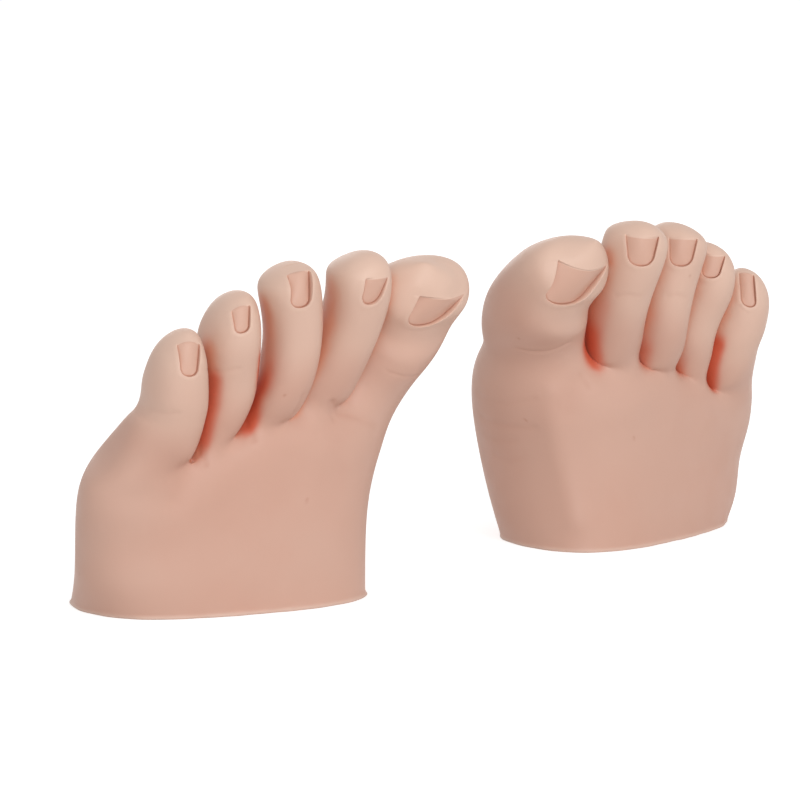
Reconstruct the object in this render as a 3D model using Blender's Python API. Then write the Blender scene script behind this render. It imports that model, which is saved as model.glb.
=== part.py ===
# A pair of silicone practice feet for nail work: two mirror-image forefeet, cut flat across the
# instep so that each stands on its cut face with its toes up. Each one is a soft skin round a foam
# core, with five toes that bend on aluminium wires, and a nail bed with a slot on every toe.
# Metres, +Z up. One foot is modelled in its own frame: +X towards the big toe, -Y the back of the
# foot, with the nails, and +Y the sole. The right foot is its mirror image.
import math

import bmesh
import bpy
import numpy as np
from mathutils import Matrix, Vector
from mathutils.bvhtree import BVHTree

# Size of the forefoot
FOOT_HALF_WIDTH = 0.040
FOOT_DEPTH = 0.050
WEB_HEIGHT = 0.050
NOTCH_HEIGHT = 0.070
GROOVE_DEPTH = 0.002

# Skin, core and the plate that closes it
SKIN_WALL = 0.008
CORE_HEIGHT = 0.030
PLATE_THICKNESS = 0.004

# Toe wires
WIRE_RADIUS = 0.0015
WIRE_ANCHOR_HEIGHT = 0.012

# Nail beds
BED_DEPTH = 0.0012
EDGE_DEPTH = 0.0007
SLOT_LENGTH = 0.0022
SLOT_OPENING = 0.0007

# Fits
FIT_GAP = 0.00035
SWEEP_GAP = 0.0005
OVERRUN = 0.006
MERGE_GAP = 0.000002

# How far a toe bends each way from its moulded pose
BEND_BACK = math.radians(12.0)
BEND_DOWN = math.radians(12.0)

# Where the two feet stand
LEFT_PLACE = (-0.0531, -0.0483)
RIGHT_PLACE = (0.0545, 0.0469)
LEFT_TURN = math.radians(28.5)
RIGHT_TURN = math.radians(44.0)

# Sections of the forefoot from the cut face up to just under the toes: height, centre, half width,
# back of the foot at the outer and the inner side, sole at the outer and the inner side
SECTION_SHARES = (
    (0.00, 0.03, 0.95, -0.29, -0.44, 0.60, 0.52),
    (0.20, 0.02, 0.99, -0.32, -0.42, 0.39, 0.65),
    (0.45, 0.03, 1.01, -0.30, -0.42, 0.34, 0.75),
    (0.68, 0.07, 1.09, -0.36, -0.38, 0.25, 0.71),
    (0.87, 0.11, 1.13, -0.35, -0.44, 0.15, 0.63),
)
SECTION_FULLNESS = 2.6
GROOVE_START_SHARE = 0.6
FOOT_END_SHARE = 0.90
TOP_CENTRE_SHARE = 0.15
TOP_WIDTH_SHARE = 1.06
TOP_SPREAD_SHARE = 1.2

# Edge where the toes leave the forefoot, from the outer side to the inner side, with the middle of
# a toe and a web in turn: across, back of the foot, its height, sole, its height
WEB_SHARES = (
    (-0.82, -0.30, 0.78, 0.09, 0.83),
    (-0.65, -0.42, 0.74, 0.07, 0.82),
    (-0.33, -0.28, 0.76, 0.08, 0.84),
    (-0.17, -0.40, 0.86, 0.10, 0.92),
    (-0.01, -0.26, 0.88, 0.10, 0.96),
    (0.16, -0.43, 0.94, 0.12, 1.00),
    (0.33, -0.26, 0.93, 0.14, 1.00),
    (0.50, -0.42, 0.96, 0.16, 1.02),
    (0.70, -0.17, 0.88, 0.20, 0.97),
    (0.93, -0.35, 1.01, 0.29, 1.17),
    (1.19, -0.17, 1.11, 0.24, 1.14),
)
OUTER_SIDE_SHARE = (-0.85, -0.11, 0.77)
INNER_SIDE_SHARE = (1.25, 0.02, 1.09)

# Toes, from the outer side to the inner side. The root is placed on the forefoot, and the other
# points lie off it by shares of the toe's length, at its knuckle, the middle of its pad and its tip
TOES = {
    "little_toe": {
        "length": 0.031, "width": 0.0165, "depth": 0.017, "barrel_radius": 0.0062,
        "barrel_length": 0.0120, "nail_length": 0.0078, "nail_width": 0.0063,
        "root_share": (-0.57, -0.25, 0.89),
        "knuckle_share": (0.07, -0.04, 0.15),
        "pad_share": (0.06, -0.17, 0.49),
        "tip_share": (0.20, -0.33, 0.88),
        "width_shares": (1.17, 1.03, 0.90),
        "back_shares": (0.60, 0.66, 0.56),
        "sole_shares": (0.56, 0.41, 0.43),
        "first_ring_share": 0.00,
        "hinge_depth_share": -0.18, "hinge_height_share": 0.79,
        "nail_share": 0.83, "nail_turn": -7.0, "nail_lean": 0.0,
        "nail_root_share": 0.80,
    },
    "fourth_toe": {
        "length": 0.037, "width": 0.0145, "depth": 0.017, "barrel_radius": 0.0062,
        "barrel_length": 0.0095, "nail_length": 0.0064, "nail_width": 0.0066,
        "root_share": (-0.21, -0.21, 0.90),
        "knuckle_share": (0.09, -0.08, 0.30),
        "pad_share": (0.05, -0.22, 0.66),
        "tip_share": (0.16, -0.37, 0.93),
        "width_shares": (0.74, 1.00, 0.95),
        "back_shares": (0.55, 0.52, 0.55),
        "sole_shares": (0.53, 0.47, 0.55),
        "first_ring_share": 0.00,
        "hinge_depth_share": -0.16, "hinge_height_share": 0.86,
        "nail_share": 0.90, "nail_turn": -9.0, "nail_lean": -3.0,
        "nail_root_share": 0.85,
    },
    "third_toe": {
        "length": 0.043, "width": 0.0155, "depth": 0.017, "barrel_radius": 0.0062,
        "barrel_length": 0.0102, "nail_length": 0.0070, "nail_width": 0.0080,
        "root_share": (0.17, -0.26, 0.99),
        "knuckle_share": (0.08, -0.12, 0.30),
        "pad_share": (0.02, -0.19, 0.74),
        "tip_share": (-0.02, -0.20, 0.86),
        "width_shares": (0.78, 0.86, 0.93),
        "back_shares": (0.54, 0.49, 0.57),
        "sole_shares": (0.53, 0.50, 0.40),
        "first_ring_share": 0.00,
        "hinge_depth_share": -0.16, "hinge_height_share": 0.94,
        "nail_share": 0.86, "nail_turn": -5.0, "nail_lean": -3.0,
        "nail_root_share": 0.72,
    },
    "second_toe": {
        "length": 0.045, "width": 0.0168, "depth": 0.017, "barrel_radius": 0.0065,
        "barrel_length": 0.0114, "nail_length": 0.0066, "nail_width": 0.0092,
        "root_share": (0.50, -0.23, 1.02),
        "knuckle_share": (0.12, -0.09, 0.33),
        "pad_share": (0.13, -0.28, 0.71),
        "tip_share": (0.10, -0.29, 0.84),
        "width_shares": (0.74, 0.70, 0.88),
        "back_shares": (0.59, 0.57, 0.53),
        "sole_shares": (0.49, 0.40, 0.53),
        "first_ring_share": 0.00,
        "hinge_depth_share": -0.16, "hinge_height_share": 0.97,
        "nail_share": 0.85, "nail_turn": -2.0, "nail_lean": 2.0,
        "nail_root_share": 0.68,
    },
    "big_toe": {
        "length": 0.045, "width": 0.0290, "depth": 0.022, "barrel_radius": 0.0085,
        "barrel_length": 0.0150, "nail_length": 0.0118, "nail_width": 0.0150,
        "root_share": (0.84, -0.05, 1.04),
        "knuckle_share": (0.24, -0.06, 0.27),
        "pad_share": (0.28, -0.34, 0.57),
        "tip_share": (0.28, -0.60, 0.63),
        "width_shares": (0.76, 0.78, 0.89),
        "back_shares": (0.51, 0.65, 0.47),
        "sole_shares": (0.66, 0.66, 0.37),
        "first_ring_share": 0.30,
        "hinge_depth_share": -0.02, "hinge_height_share": 1.02,
        "nail_share": 0.93, "nail_turn": -6.0, "nail_lean": 4.0,
        "nail_root_share": 0.78,
    },
}
TIP_REACH_SHARE = 0.07

# Wire of a toe: where it reaches the toe's middle and how far up the toe it ends, how far its
# lower end stands off the middle of the foot, where the bore in the toe starts on its way up
WIRE_ROOT_SHARE = 0.30
WIRE_END_SHARE = 0.72
ANCHOR_SPREAD_SHARE = 0.72
TOE_BORE_START_SHARE = 0.5

# Nail bed: how far the cutter stands out of the toe, and the slope of the slot into the toe
NAIL_AIR_SHARE = 0.4
SLOT_SKEW_SHARE = 0.25

# Rings of a toe: shares of the way from root to pad, then shares of the way from pad to tip, each
# with its share of the toe's section there
SHANK_RINGS_SHARES = ((0.0, 1.0), (0.30, 1.0), (0.62, 0.96), (0.86, 0.99), (1.0, 1.0))
TIP_RINGS_SHARES = ((0.50, 0.90), (0.86, 0.52))
CORNER_SHARE = 0.76
# What the smoothed surface loses against its cage of eight points round a toe
CAGE_SWELL = 6.0 / (4.0 + 2.0 * math.cos(math.pi / 4.0))

# Fineness of the shapes
RING_POINTS = 24
BARREL_SIDES = 24
CORE_SIDES = 24
WIRE_LOWER_STEPS = 6
WIRE_UPPER_STEPS = 6
TUBE_CORNER_STEPS = 2
NAIL_ARC_STEPS = 6
NAIL_LENGTH_STEPS = 3
SMOOTH_LEVELS = 1
SHARP_ANGLE = math.radians(35.0)

SILICONE = {"name": "skin_silicone", "colour": (0.66, 0.40, 0.30, 1.0), "roughness": 0.55}
FOAM = {"name": "core_foam", "colour": (0.80, 0.76, 0.66, 1.0), "roughness": 0.85}
PLATE = {"name": "base_plate_plastic", "colour": (0.72, 0.66, 0.58, 1.0), "roughness": 0.6}
WIRE = {"name": "aluminium_wire", "colour": (0.80, 0.81, 0.82, 1.0), "roughness": 0.35, "metallic": 1.0}


def clear_scene():
    for thing in list(bpy.data.objects):
        bpy.data.objects.remove(thing, do_unlink=True)


def make_material(look):
    material = bpy.data.materials.new(look["name"])
    material.use_nodes = True
    shader = material.node_tree.nodes["Principled BSDF"]
    shader.inputs["Base Color"].default_value = look["colour"]
    shader.inputs["Roughness"].default_value = look["roughness"]
    shader.inputs["Metallic"].default_value = look.get("metallic", 0.0)
    material.diffuse_color = look["colour"]
    return material


def new_object(name, mesh):
    thing = bpy.data.objects.new(name, mesh)
    bpy.context.scene.collection.objects.link(thing)
    return thing


def object_from(name, bm):
    mesh = bpy.data.meshes.new(name)
    bm.to_mesh(mesh)
    bm.free()
    return new_object(name, mesh)


def baked_mesh(thing):
    # The object's mesh as its modifiers leave it
    bpy.context.view_layer.update()
    graph = bpy.context.evaluated_depsgraph_get()
    return bpy.data.meshes.new_from_object(thing.evaluated_get(graph), depsgraph=graph)


def combine(thing, tool, operation):
    # Boolean of the tool into the thing; the tool is used up
    modifier = thing.modifiers.new(operation.lower(), "BOOLEAN")
    modifier.operation = operation
    modifier.solver = "EXACT"
    modifier.object = tool
    mesh = baked_mesh(thing)
    bm = bmesh.new()
    bm.from_mesh(mesh)
    bmesh.ops.remove_doubles(bm, verts=bm.verts, dist=MERGE_GAP)
    bmesh.ops.dissolve_degenerate(bm, edges=bm.edges, dist=MERGE_GAP)
    bm.to_mesh(mesh)
    bm.free()
    thing.data = mesh
    thing.modifiers.clear()
    bpy.data.objects.remove(tool, do_unlink=True)


def cut(thing, tool):
    combine(thing, tool, "DIFFERENCE")


def lerp(start, end, share):
    return start + (end - start) * share


def foot_point(shares):
    across, depth, height = shares
    return Vector((across * FOOT_HALF_WIDTH, depth * FOOT_DEPTH, height * WEB_HEIGHT))


def section_at(height_share):
    # The forefoot's section at a height, read between the ones given
    heights = [row[0] for row in SECTION_SHARES]
    return [float(np.interp(height_share, heights, column)) for column in zip(*SECTION_SHARES)][1:]


def section_point(section, spread, rise, inset=0.0):
    # A point of a section: spread runs -1 to 1 across the foot, rise -1 (back) to 1 (sole)
    centre, half_width, back_outer, back_inner, sole_outer, sole_inner = section
    across_share = (spread + 1.0) / 2.0
    back = FOOT_DEPTH * lerp(back_outer, back_inner, across_share)
    sole = FOOT_DEPTH * lerp(sole_outer, sole_inner, across_share)
    x = FOOT_HALF_WIDTH * centre + (FOOT_HALF_WIDTH * half_width - inset) * spread
    y = (back + sole) / 2.0 + ((sole - back) / 2.0 - inset) * rise
    return x, y


def spine_fit(toe):
    # Cubic through the toe's root, knuckle, pad and tip, by the distance along them
    root = foot_point(toe["root_share"])
    points = [root]
    for key in ("knuckle_share", "pad_share", "tip_share"):
        points.append(root + Vector(toe[key]) * toe["length"])
    reach = [0.0]
    for start, end in zip(points, points[1:]):
        reach.append(reach[-1] + (end - start).length)
    fit = np.polyfit(reach, np.array(points), 3)
    return fit, reach, points


def spine_frame(toe, reach):
    # Centre of the toe at a distance along it, with the directions across (towards the big toe),
    # along the toe and out of its back
    fit, _, _ = spine_fit(toe)
    powers = np.array([reach ** 3, reach ** 2, reach, 1.0])
    slopes = np.array([3.0 * reach ** 2, 2.0 * reach, 1.0, 0.0])
    centre = Vector(powers @ fit)
    along = Vector(slopes @ fit).normalized()
    across = Vector((along.z, 0.0, -along.x)).normalized()
    back = across.cross(along)
    return centre, across, along, back


def toe_rings(toe):
    _, reach, points = spine_fit(toe)
    pad, tip = reach[2], reach[3]
    first = toe["first_ring_share"]
    stations = [(pad * lerp(first, 1.0, share), size) for share, size in SHANK_RINGS_SHARES]
    stations += [(lerp(pad, tip, share), size) for share, size in TIP_RINGS_SHARES]
    rings = []
    for place, size in stations:
        centre, across, _, back = spine_frame(toe, place)
        sizes = []
        for key, full in (("width_shares", toe["width"] / 2.0), ("back_shares", toe["depth"]),
                          ("sole_shares", toe["depth"])):
            sizes.append(float(np.interp(place, reach[:3], toe[key])) * full * size * CAGE_SWELL)
        half_width, to_back, to_sole = sizes
        side = across * half_width
        out = back * to_back
        under = back * to_sole
        rings.append([
            centre - side * CORNER_SHARE + out * CORNER_SHARE,
            centre + out,
            centre + side * CORNER_SHARE + out * CORNER_SHARE,
            centre + side,
            centre + side * CORNER_SHARE - under * CORNER_SHARE,
            centre - under,
            centre - side * CORNER_SHARE - under * CORNER_SHARE,
            centre - side,
        ])
    end = points[3] + (points[3] - points[2]) * TIP_REACH_SHARE
    return rings, end


def forefoot_rings():
    rings = []
    stations = len(WEB_SHARES)
    for row in SECTION_SHARES:
        height = row[0]
        section = row[1:]
        backs, soles = [], []
        for index, web in enumerate(WEB_SHARES):
            base_spread = lerp(-FOOT_END_SHARE, FOOT_END_SHARE, index / (stations - 1))
            top_spread = (web[0] - TOP_CENTRE_SHARE) / TOP_WIDTH_SHARE
            spread = lerp(base_spread, top_spread, height ** TOP_SPREAD_SHARE)
            rise = (1.0 - abs(spread) ** SECTION_FULLNESS) ** (1.0 / SECTION_FULLNESS)
            in_web = index % 2 == 0 and 0 < index < stations - 1
            groove = GROOVE_DEPTH * max(0.0, height - GROOVE_START_SHARE) / (1.0 - GROOVE_START_SHARE)
            x, y = section_point(section, spread, -rise)
            backs.append(Vector((x, y + (groove if in_web else 0.0), height * web[2] * WEB_HEIGHT)))
            x, y = section_point(section, spread, rise)
            soles.append(Vector((x, y, height * web[4] * WEB_HEIGHT)))
        x, y = section_point(section, -1.0, 0.0)
        outer = Vector((x, y, height * OUTER_SIDE_SHARE[2] * WEB_HEIGHT))
        x, y = section_point(section, 1.0, 0.0)
        inner = Vector((x, y, height * INNER_SIDE_SHARE[2] * WEB_HEIGHT))
        rings.append([outer] + backs + [inner] + soles[::-1])
    backs = [foot_point((web[0], web[1], web[2])) for web in WEB_SHARES]
    soles = [foot_point((web[0], web[3], web[4])) for web in WEB_SHARES]
    rings.append([foot_point(OUTER_SIDE_SHARE)] + backs + [foot_point(INNER_SIDE_SHARE)] + soles[::-1])
    return rings


def skin_cage():
    # Coarse cage of a whole foot. Faces of the forefoot have material index 0, the toes' 1 to 5
    bm = bmesh.new()
    rings = [[bm.verts.new(point) for point in ring] for ring in forefoot_rings()]
    count = RING_POINTS
    for lower, upper in zip(rings, rings[1:]):
        for index in range(count):
            after = (index + 1) % count
            bm.faces.new((lower[index], lower[after], upper[after], upper[index]))
    base = rings[0]
    for index in range(1, count // 2 - 1):
        bm.faces.new((base[index], base[count - index], base[count - index - 1], base[index + 1]))
    bm.faces.new((base[0], base[count - 1], base[1]))
    bm.faces.new((base[count // 2], base[count // 2 - 1], base[count // 2 + 1]))
    crease = bm.edges.layers.float.new("crease_edge")
    for index in range(count):
        bm.edges.get((base[index], base[(index + 1) % count]))[crease] = 1.0

    top = rings[-1]
    webs = {1: top[0], count // 2 - 1: top[count // 2]}
    for index in range(3, count // 2 - 1, 2):
        middle = (top[index].co + top[count - index].co) / 2.0
        webs[index] = bm.verts.new(middle)
    for number, toe in enumerate(TOES.values()):
        start = 1 + 2 * number
        previous = [top[start], top[start + 1], top[start + 2], webs[start + 2],
                    top[count - start - 2], top[count - start - 1], top[count - start], webs[start]]
        toe_points, end = toe_rings(toe)
        sides = len(previous)
        for points in toe_points:
            ring = [bm.verts.new(point) for point in points]
            for index in range(sides):
                after = (index + 1) % sides
                face = bm.faces.new((previous[index], previous[after], ring[after], ring[index]))
                face.material_index = number + 1
            previous = ring
        tip = bm.verts.new(end)
        for index in range(0, sides, 2):
            before = previous[index - 1]
            face = bm.faces.new((before, previous[index], previous[index + 1], tip))
            face.material_index = number + 1
    return bm


def smooth_skin():
    thing = object_from("skin_cage", skin_cage())
    for number in range(len(TOES) + 1):
        thing.data.materials.append(None)
    modifier = thing.modifiers.new("smooth", "SUBSURF")
    modifier.levels = SMOOTH_LEVELS
    modifier.render_levels = SMOOTH_LEVELS
    mesh = baked_mesh(thing)
    bpy.data.objects.remove(thing, do_unlink=True)
    return mesh


def toe_region(mesh, number):
    # The smoothed skin of one toe, open at its root
    bm = bmesh.new()
    bm.from_mesh(mesh)
    others = [face for face in bm.faces if face.material_index != number]
    bmesh.ops.delete(bm, geom=others, context="FACES")
    for face in bm.faces:
        face.material_index = 0
    return bm


def web_span(toe):
    # Where the webs on both sides of a toe lie across the foot
    number = list(TOES.values()).index(toe)
    start = WEB_SHARES[2 * number][0] * FOOT_HALF_WIDTH
    end = WEB_SHARES[2 * number + 2][0] * FOOT_HALF_WIDTH
    return start, end


def hinge_frame(toe):
    # The hinge axis runs straight across the foot under the toe's root, and its barrel lies midway
    # between the webs
    _, _, along, _ = spine_frame(toe, 0.0)
    centre = Vector((sum(web_span(toe)) / 2.0, toe["hinge_depth_share"] * FOOT_DEPTH,
                     toe["hinge_height_share"] * WEB_HEIGHT))
    across = Vector((1.0, 0.0, 0.0))
    along = Vector((0.0, along.y, along.z)).normalized()
    return centre, across, along, across.cross(along)


def frame_matrix(frame):
    # Local X across the foot, Y along the toe and Z out of its back
    centre, across, along, back = frame
    turn = Matrix((across, along, back)).transposed().to_4x4()
    return Matrix.Translation(centre) @ turn


def barrel(toe, clearance=0.0):
    # Round root of a toe, on its hinge axis
    bm = bmesh.new()
    bmesh.ops.create_cone(
        bm, cap_ends=True, segments=BARREL_SIDES,
        radius1=toe["barrel_radius"] + clearance, radius2=toe["barrel_radius"] + clearance,
        depth=toe["barrel_length"] + 2.0 * clearance)
    lay = Matrix.Rotation(math.pi / 2.0, 4, "Y") @ Matrix.Rotation(math.pi / BARREL_SIDES, 4, "Z")
    bmesh.ops.transform(bm, matrix=frame_matrix(hinge_frame(toe)) @ lay, verts=bm.verts)
    return object_from("barrel", bm)


def keep_largest(bm):
    # Drops the crumbs that a fold in a toe's root leaves under its hinge plane
    left = set(bm.verts)
    groups = []
    while left:
        group = set()
        ahead = [left.pop()]
        while ahead:
            vert = ahead.pop()
            group.add(vert)
            for edge in vert.link_edges:
                other = edge.other_vert(vert)
                if other in left:
                    left.discard(other)
                    ahead.append(other)
        groups.append(group)
    groups.sort(key=len)
    crumbs = [vert for group in groups[:-1] for vert in group]
    bmesh.ops.delete(bm, geom=crumbs, context="VERTS")


def toe_shank(mesh, number, toe):
    # The toe's skin above its hinge plane, closed below
    bm = toe_region(mesh, number)
    centre, _, along, _ = hinge_frame(toe)
    start, end = web_span(toe)
    rim = [edge for edge in bm.edges if edge.is_boundary]
    for vert in {vert for edge in rim for vert in edge.verts}:
        if number > 1:
            vert.co.x = max(vert.co.x, start + FIT_GAP / 2.0)
        if number < len(TOES):
            vert.co.x = min(vert.co.x, end - FIT_GAP / 2.0)
    drop = bmesh.ops.extrude_edge_only(bm, edges=rim)
    moved = [item for item in drop["geom"] if isinstance(item, bmesh.types.BMVert)]
    bmesh.ops.translate(bm, verts=moved, vec=-along * toe["length"])
    everything = list(bm.verts) + list(bm.edges) + list(bm.faces)
    bmesh.ops.bisect_plane(
        bm, geom=everything, plane_co=centre, plane_no=along, dist=MERGE_GAP, clear_inner=True)
    keep_largest(bm)
    rim = [edge for edge in bm.edges if edge.is_boundary]
    bmesh.ops.contextual_create(bm, geom=rim)
    bmesh.ops.recalc_face_normals(bm, faces=bm.faces)
    return bm


def bend_notch(number, toe):
    # Room for a toe to bend: everything above a wedge at its hinge axis, from web to web, and past
    # the foot's side at the little and the big toe. Together they clear the forefoot of its toes
    centre, _, along, back = hinge_frame(toe)
    start, end = web_span(toe)
    start -= FIT_GAP
    end += FIT_GAP
    if number == 0:
        start -= FOOT_DEPTH
    if number == len(TOES) - 1:
        end += FOOT_DEPTH
    apex = centre - along * SWEEP_GAP
    outline = [
        apex,
        apex + back * FOOT_DEPTH - along * FOOT_DEPTH * math.tan(BEND_BACK),
        apex + back * FOOT_DEPTH + along * NOTCH_HEIGHT,
        apex - back * FOOT_DEPTH + along * NOTCH_HEIGHT,
        apex - back * FOOT_DEPTH - along * FOOT_DEPTH * math.tan(BEND_DOWN),
    ]
    bm = bmesh.new()
    face = bm.faces.new([bm.verts.new((start, point.y, point.z)) for point in outline])
    made = bmesh.ops.extrude_face_region(bm, geom=[face])
    moved = [item for item in made["geom"] if isinstance(item, bmesh.types.BMVert)]
    bmesh.ops.translate(bm, verts=moved, vec=Vector((end - start, 0.0, 0.0)))
    bmesh.ops.recalc_face_normals(bm, faces=bm.faces)
    return object_from("bend_notch", bm)


def tube(name, points, radius):
    curve = bpy.data.curves.new(name, "CURVE")
    curve.dimensions = "3D"
    curve.bevel_depth = radius
    curve.bevel_resolution = TUBE_CORNER_STEPS
    curve.use_fill_caps = True
    line = curve.splines.new("POLY")
    line.points.add(len(points) - 1)
    for spot, point in zip(line.points, points):
        spot.co = (*point, 1.0)
    thing = new_object(name, curve)
    mesh = baked_mesh(thing)
    bpy.data.objects.remove(thing, do_unlink=True)
    return new_object(name, mesh)


def wire_anchor(toe):
    # Lower end of the wire, inside the core, under the toe's root
    root = foot_point(toe["root_share"])
    section = section_at(WIRE_ANCHOR_HEIGHT / WEB_HEIGHT)
    spread = root.x / (FOOT_HALF_WIDTH * TOP_WIDTH_SHARE) * ANCHOR_SPREAD_SHARE
    x, y = section_point(section, spread, 0.0)
    return Vector((x, y, WIRE_ANCHOR_HEIGHT))


def wire_route(toe, from_share=0.0, end_gap=0.0):
    # From the core, through the hinge axis and up the middle of the toe. A bore starts later on the
    # route and ends a little past the wire
    start = wire_anchor(toe)
    _, reach, _ = spine_fit(toe)
    hinge, _, along, _ = hinge_frame(toe)
    bend = hinge - along * (hinge - start).length / 2.0
    points = []
    for step in range(WIRE_LOWER_STEPS):
        share = lerp(from_share, 1.0, step / WIRE_LOWER_STEPS)
        points.append(start.lerp(bend, share).lerp(bend.lerp(hinge, share), share))
    points.append(hinge)
    for share in np.linspace(WIRE_ROOT_SHARE, WIRE_END_SHARE, WIRE_UPPER_STEPS):
        points.append(spine_frame(toe, reach[3] * share)[0])
    points[-1] += (points[-1] - points[-2]).normalized() * end_gap
    return points


def skin_under(tree, above, down):
    # Where the toe's skin lies under a point, or the skin nearest to it past the toe's rounded end
    return tree.ray_cast(above, down)[0] or tree.find_nearest(above)[0]


def nail_line(toe, tree):
    # Middle of the nail bed's root on the toe's back, with the directions along and across the
    # nail. The nail's middle is placed by its reach up the toe and by how far round the toe it sits
    _, reach, _ = spine_fit(toe)
    centre, across, _, back = spine_frame(toe, reach[3] * toe["nail_share"])
    turn = math.radians(toe["nail_turn"])
    lean = math.radians(toe["nail_lean"])
    middle, normal, _, _ = tree.ray_cast(centre, back * math.cos(turn) + across * math.sin(turn))
    upright = Vector((math.sin(lean), 0.0, math.cos(lean)))
    ahead = (upright - normal * upright.dot(normal)).normalized()
    step = ahead * toe["nail_length"] / 2.0
    lift = normal * toe["nail_length"] / 2.0
    root = skin_under(tree, middle - step + lift, -normal)
    edge = skin_under(tree, middle + step + lift, -normal)
    ahead = (edge - root).normalized()
    return root, ahead, ahead.cross(normal).normalized()


def nail_cutter(toe, shank):
    # The open bed, whose floor lies evenly under the toe's skin, and the slot that runs on from it
    # under the fold of skin at its root
    tree = BVHTree.FromBMesh(shank)
    root, along, across = nail_line(toe, tree)
    out = across.cross(along)
    air = toe["depth"] * NAIL_AIR_SHARE
    bm = bmesh.new()
    skin_rows = []
    for row in range(NAIL_LENGTH_STEPS + 1):
        share = row / NAIL_LENGTH_STEPS
        width = toe["nail_width"] * lerp(toe["nail_root_share"], 1.0, share)
        line = []
        for step in range(NAIL_ARC_STEPS + 1):
            side = lerp(-width / 2.0, width / 2.0, step / NAIL_ARC_STEPS)
            above = root + along * toe["nail_length"] * share + across * side + out * air
            line.append(skin_under(tree, above, -out))
        skin_rows.append(line)

    def raised(line, height, back=0.0):
        return [bm.verts.new(point + out * height - along * back) for point in line]

    floors = []
    for row, line in enumerate(skin_rows):
        floors.append(raised(line, -lerp(BED_DEPTH, EDGE_DEPTH, row / NAIL_LENGTH_STEPS)))
    tops = [raised(line, air) for line in skin_rows]
    lip = raised(skin_rows[0], SLOT_OPENING - BED_DEPTH)
    drop = SLOT_LENGTH * SLOT_SKEW_SHARE
    inner_roof = raised(skin_rows[0], SLOT_OPENING - BED_DEPTH - drop, SLOT_LENGTH)
    inner_floor = raised(skin_rows[0], -BED_DEPTH - drop, SLOT_LENGTH)
    strips = [inner_floor, inner_roof, lip] + tops + floors[::-1]
    for first, second in zip(strips, strips[1:] + strips[:1]):
        for index in range(NAIL_ARC_STEPS):
            bm.faces.new((first[index], first[index + 1], second[index + 1], second[index]))
    for side in (0, NAIL_ARC_STEPS):
        bm.faces.new((inner_floor[side], inner_roof[side], lip[side], floors[0][side]))
        bm.faces.new([lip[side]] + [line[side] for line in tops + floors[::-1]])
    bmesh.ops.recalc_face_normals(bm, faces=bm.faces)
    return object_from("nail_cutter", bm)


def make_toe(name, mesh, number, toe):
    shank = toe_shank(mesh, number, toe)
    bed = nail_cutter(toe, shank)
    thing = object_from(name, shank)
    combine(thing, barrel(toe), "UNION")
    cut(thing, bed)
    cut(thing, tube("toe_bore", wire_route(toe, TOE_BORE_START_SHARE, FIT_GAP), WIRE_RADIUS + FIT_GAP))
    return thing


def make_forefoot(name, mesh):
    thing = new_object(name, mesh.copy())
    cut(thing, core_solid("cavity", -OVERRUN, CORE_HEIGHT, 0.0))
    for toe in TOES.values():
        cut(thing, tube("skin_bore", wire_route(toe, 0.0), WIRE_RADIUS + FIT_GAP))
    for number, toe in enumerate(TOES.values()):
        cut(thing, bend_notch(number, toe))
        cut(thing, barrel(toe, FIT_GAP))
    return thing


def core_solid(name, bottom, top, clearance):
    # Closed solid that follows the foot's sections inside its wall. The cavity, the core and the
    # plate are split the same way, so that they stay parallel
    bm = bmesh.new()
    rings = []
    levels = [row[0] * WEB_HEIGHT for row in SECTION_SHARES] + [PLATE_THICKNESS]
    between = sorted(level for level in levels if bottom < level < top)
    for height in [bottom] + between + [top]:
        section = section_at(height / WEB_HEIGHT)
        ring = []
        for index in range(CORE_SIDES):
            angle = 2.0 * math.pi * index / CORE_SIDES
            cosine, sine = math.cos(angle), math.sin(angle)
            spread = math.copysign(abs(cosine) ** (2.0 / SECTION_FULLNESS), cosine)
            rise = math.copysign(abs(sine) ** (2.0 / SECTION_FULLNESS), sine)
            x, y = section_point(section, spread, rise, SKIN_WALL + clearance)
            ring.append(bm.verts.new((x, y, height)))
        rings.append(ring)
    for lower, upper in zip(rings, rings[1:]):
        for index in range(CORE_SIDES):
            after = (index + 1) % CORE_SIDES
            bm.faces.new((lower[index], lower[after], upper[after]))
            bm.faces.new((lower[index], upper[after], upper[index]))
    bm.faces.new(rings[0][::-1])
    bm.faces.new(rings[-1])
    return object_from(name, bm)


def make_core(name):
    thing = core_solid(name, PLATE_THICKNESS + FIT_GAP, CORE_HEIGHT - FIT_GAP, FIT_GAP)
    for toe in TOES.values():
        cut(thing, tube("core_bore", wire_route(toe, 0.0), WIRE_RADIUS + FIT_GAP))
    return thing


def make_plate(name):
    return core_solid(name, 0.0, PLATE_THICKNESS, FIT_GAP)


def finish(thing, material, origin, parent):
    # Set the origin on the joint axis, give the material and stand the piece on its foot's place
    thing.data.materials.clear()
    thing.data.materials.append(material)
    thing.data.transform(Matrix.Translation(-origin))
    thing.location = origin
    thing.parent = parent
    thing.data.shade_smooth()
    thing.data.set_sharp_from_angle(angle=SHARP_ANGLE)


def mirrored(thing, name):
    mesh = thing.data.copy()
    mesh.transform(Matrix.Scale(-1.0, 4, Vector((1.0, 0.0, 0.0))))
    mesh.flip_normals()
    return new_object(name, mesh)


def stand(name, place, turn):
    empty = bpy.data.objects.new(name, None)
    bpy.context.scene.collection.objects.link(empty)
    empty.location = (*place, 0.0)
    empty.rotation_euler = (0.0, 0.0, turn)
    return empty


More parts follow.
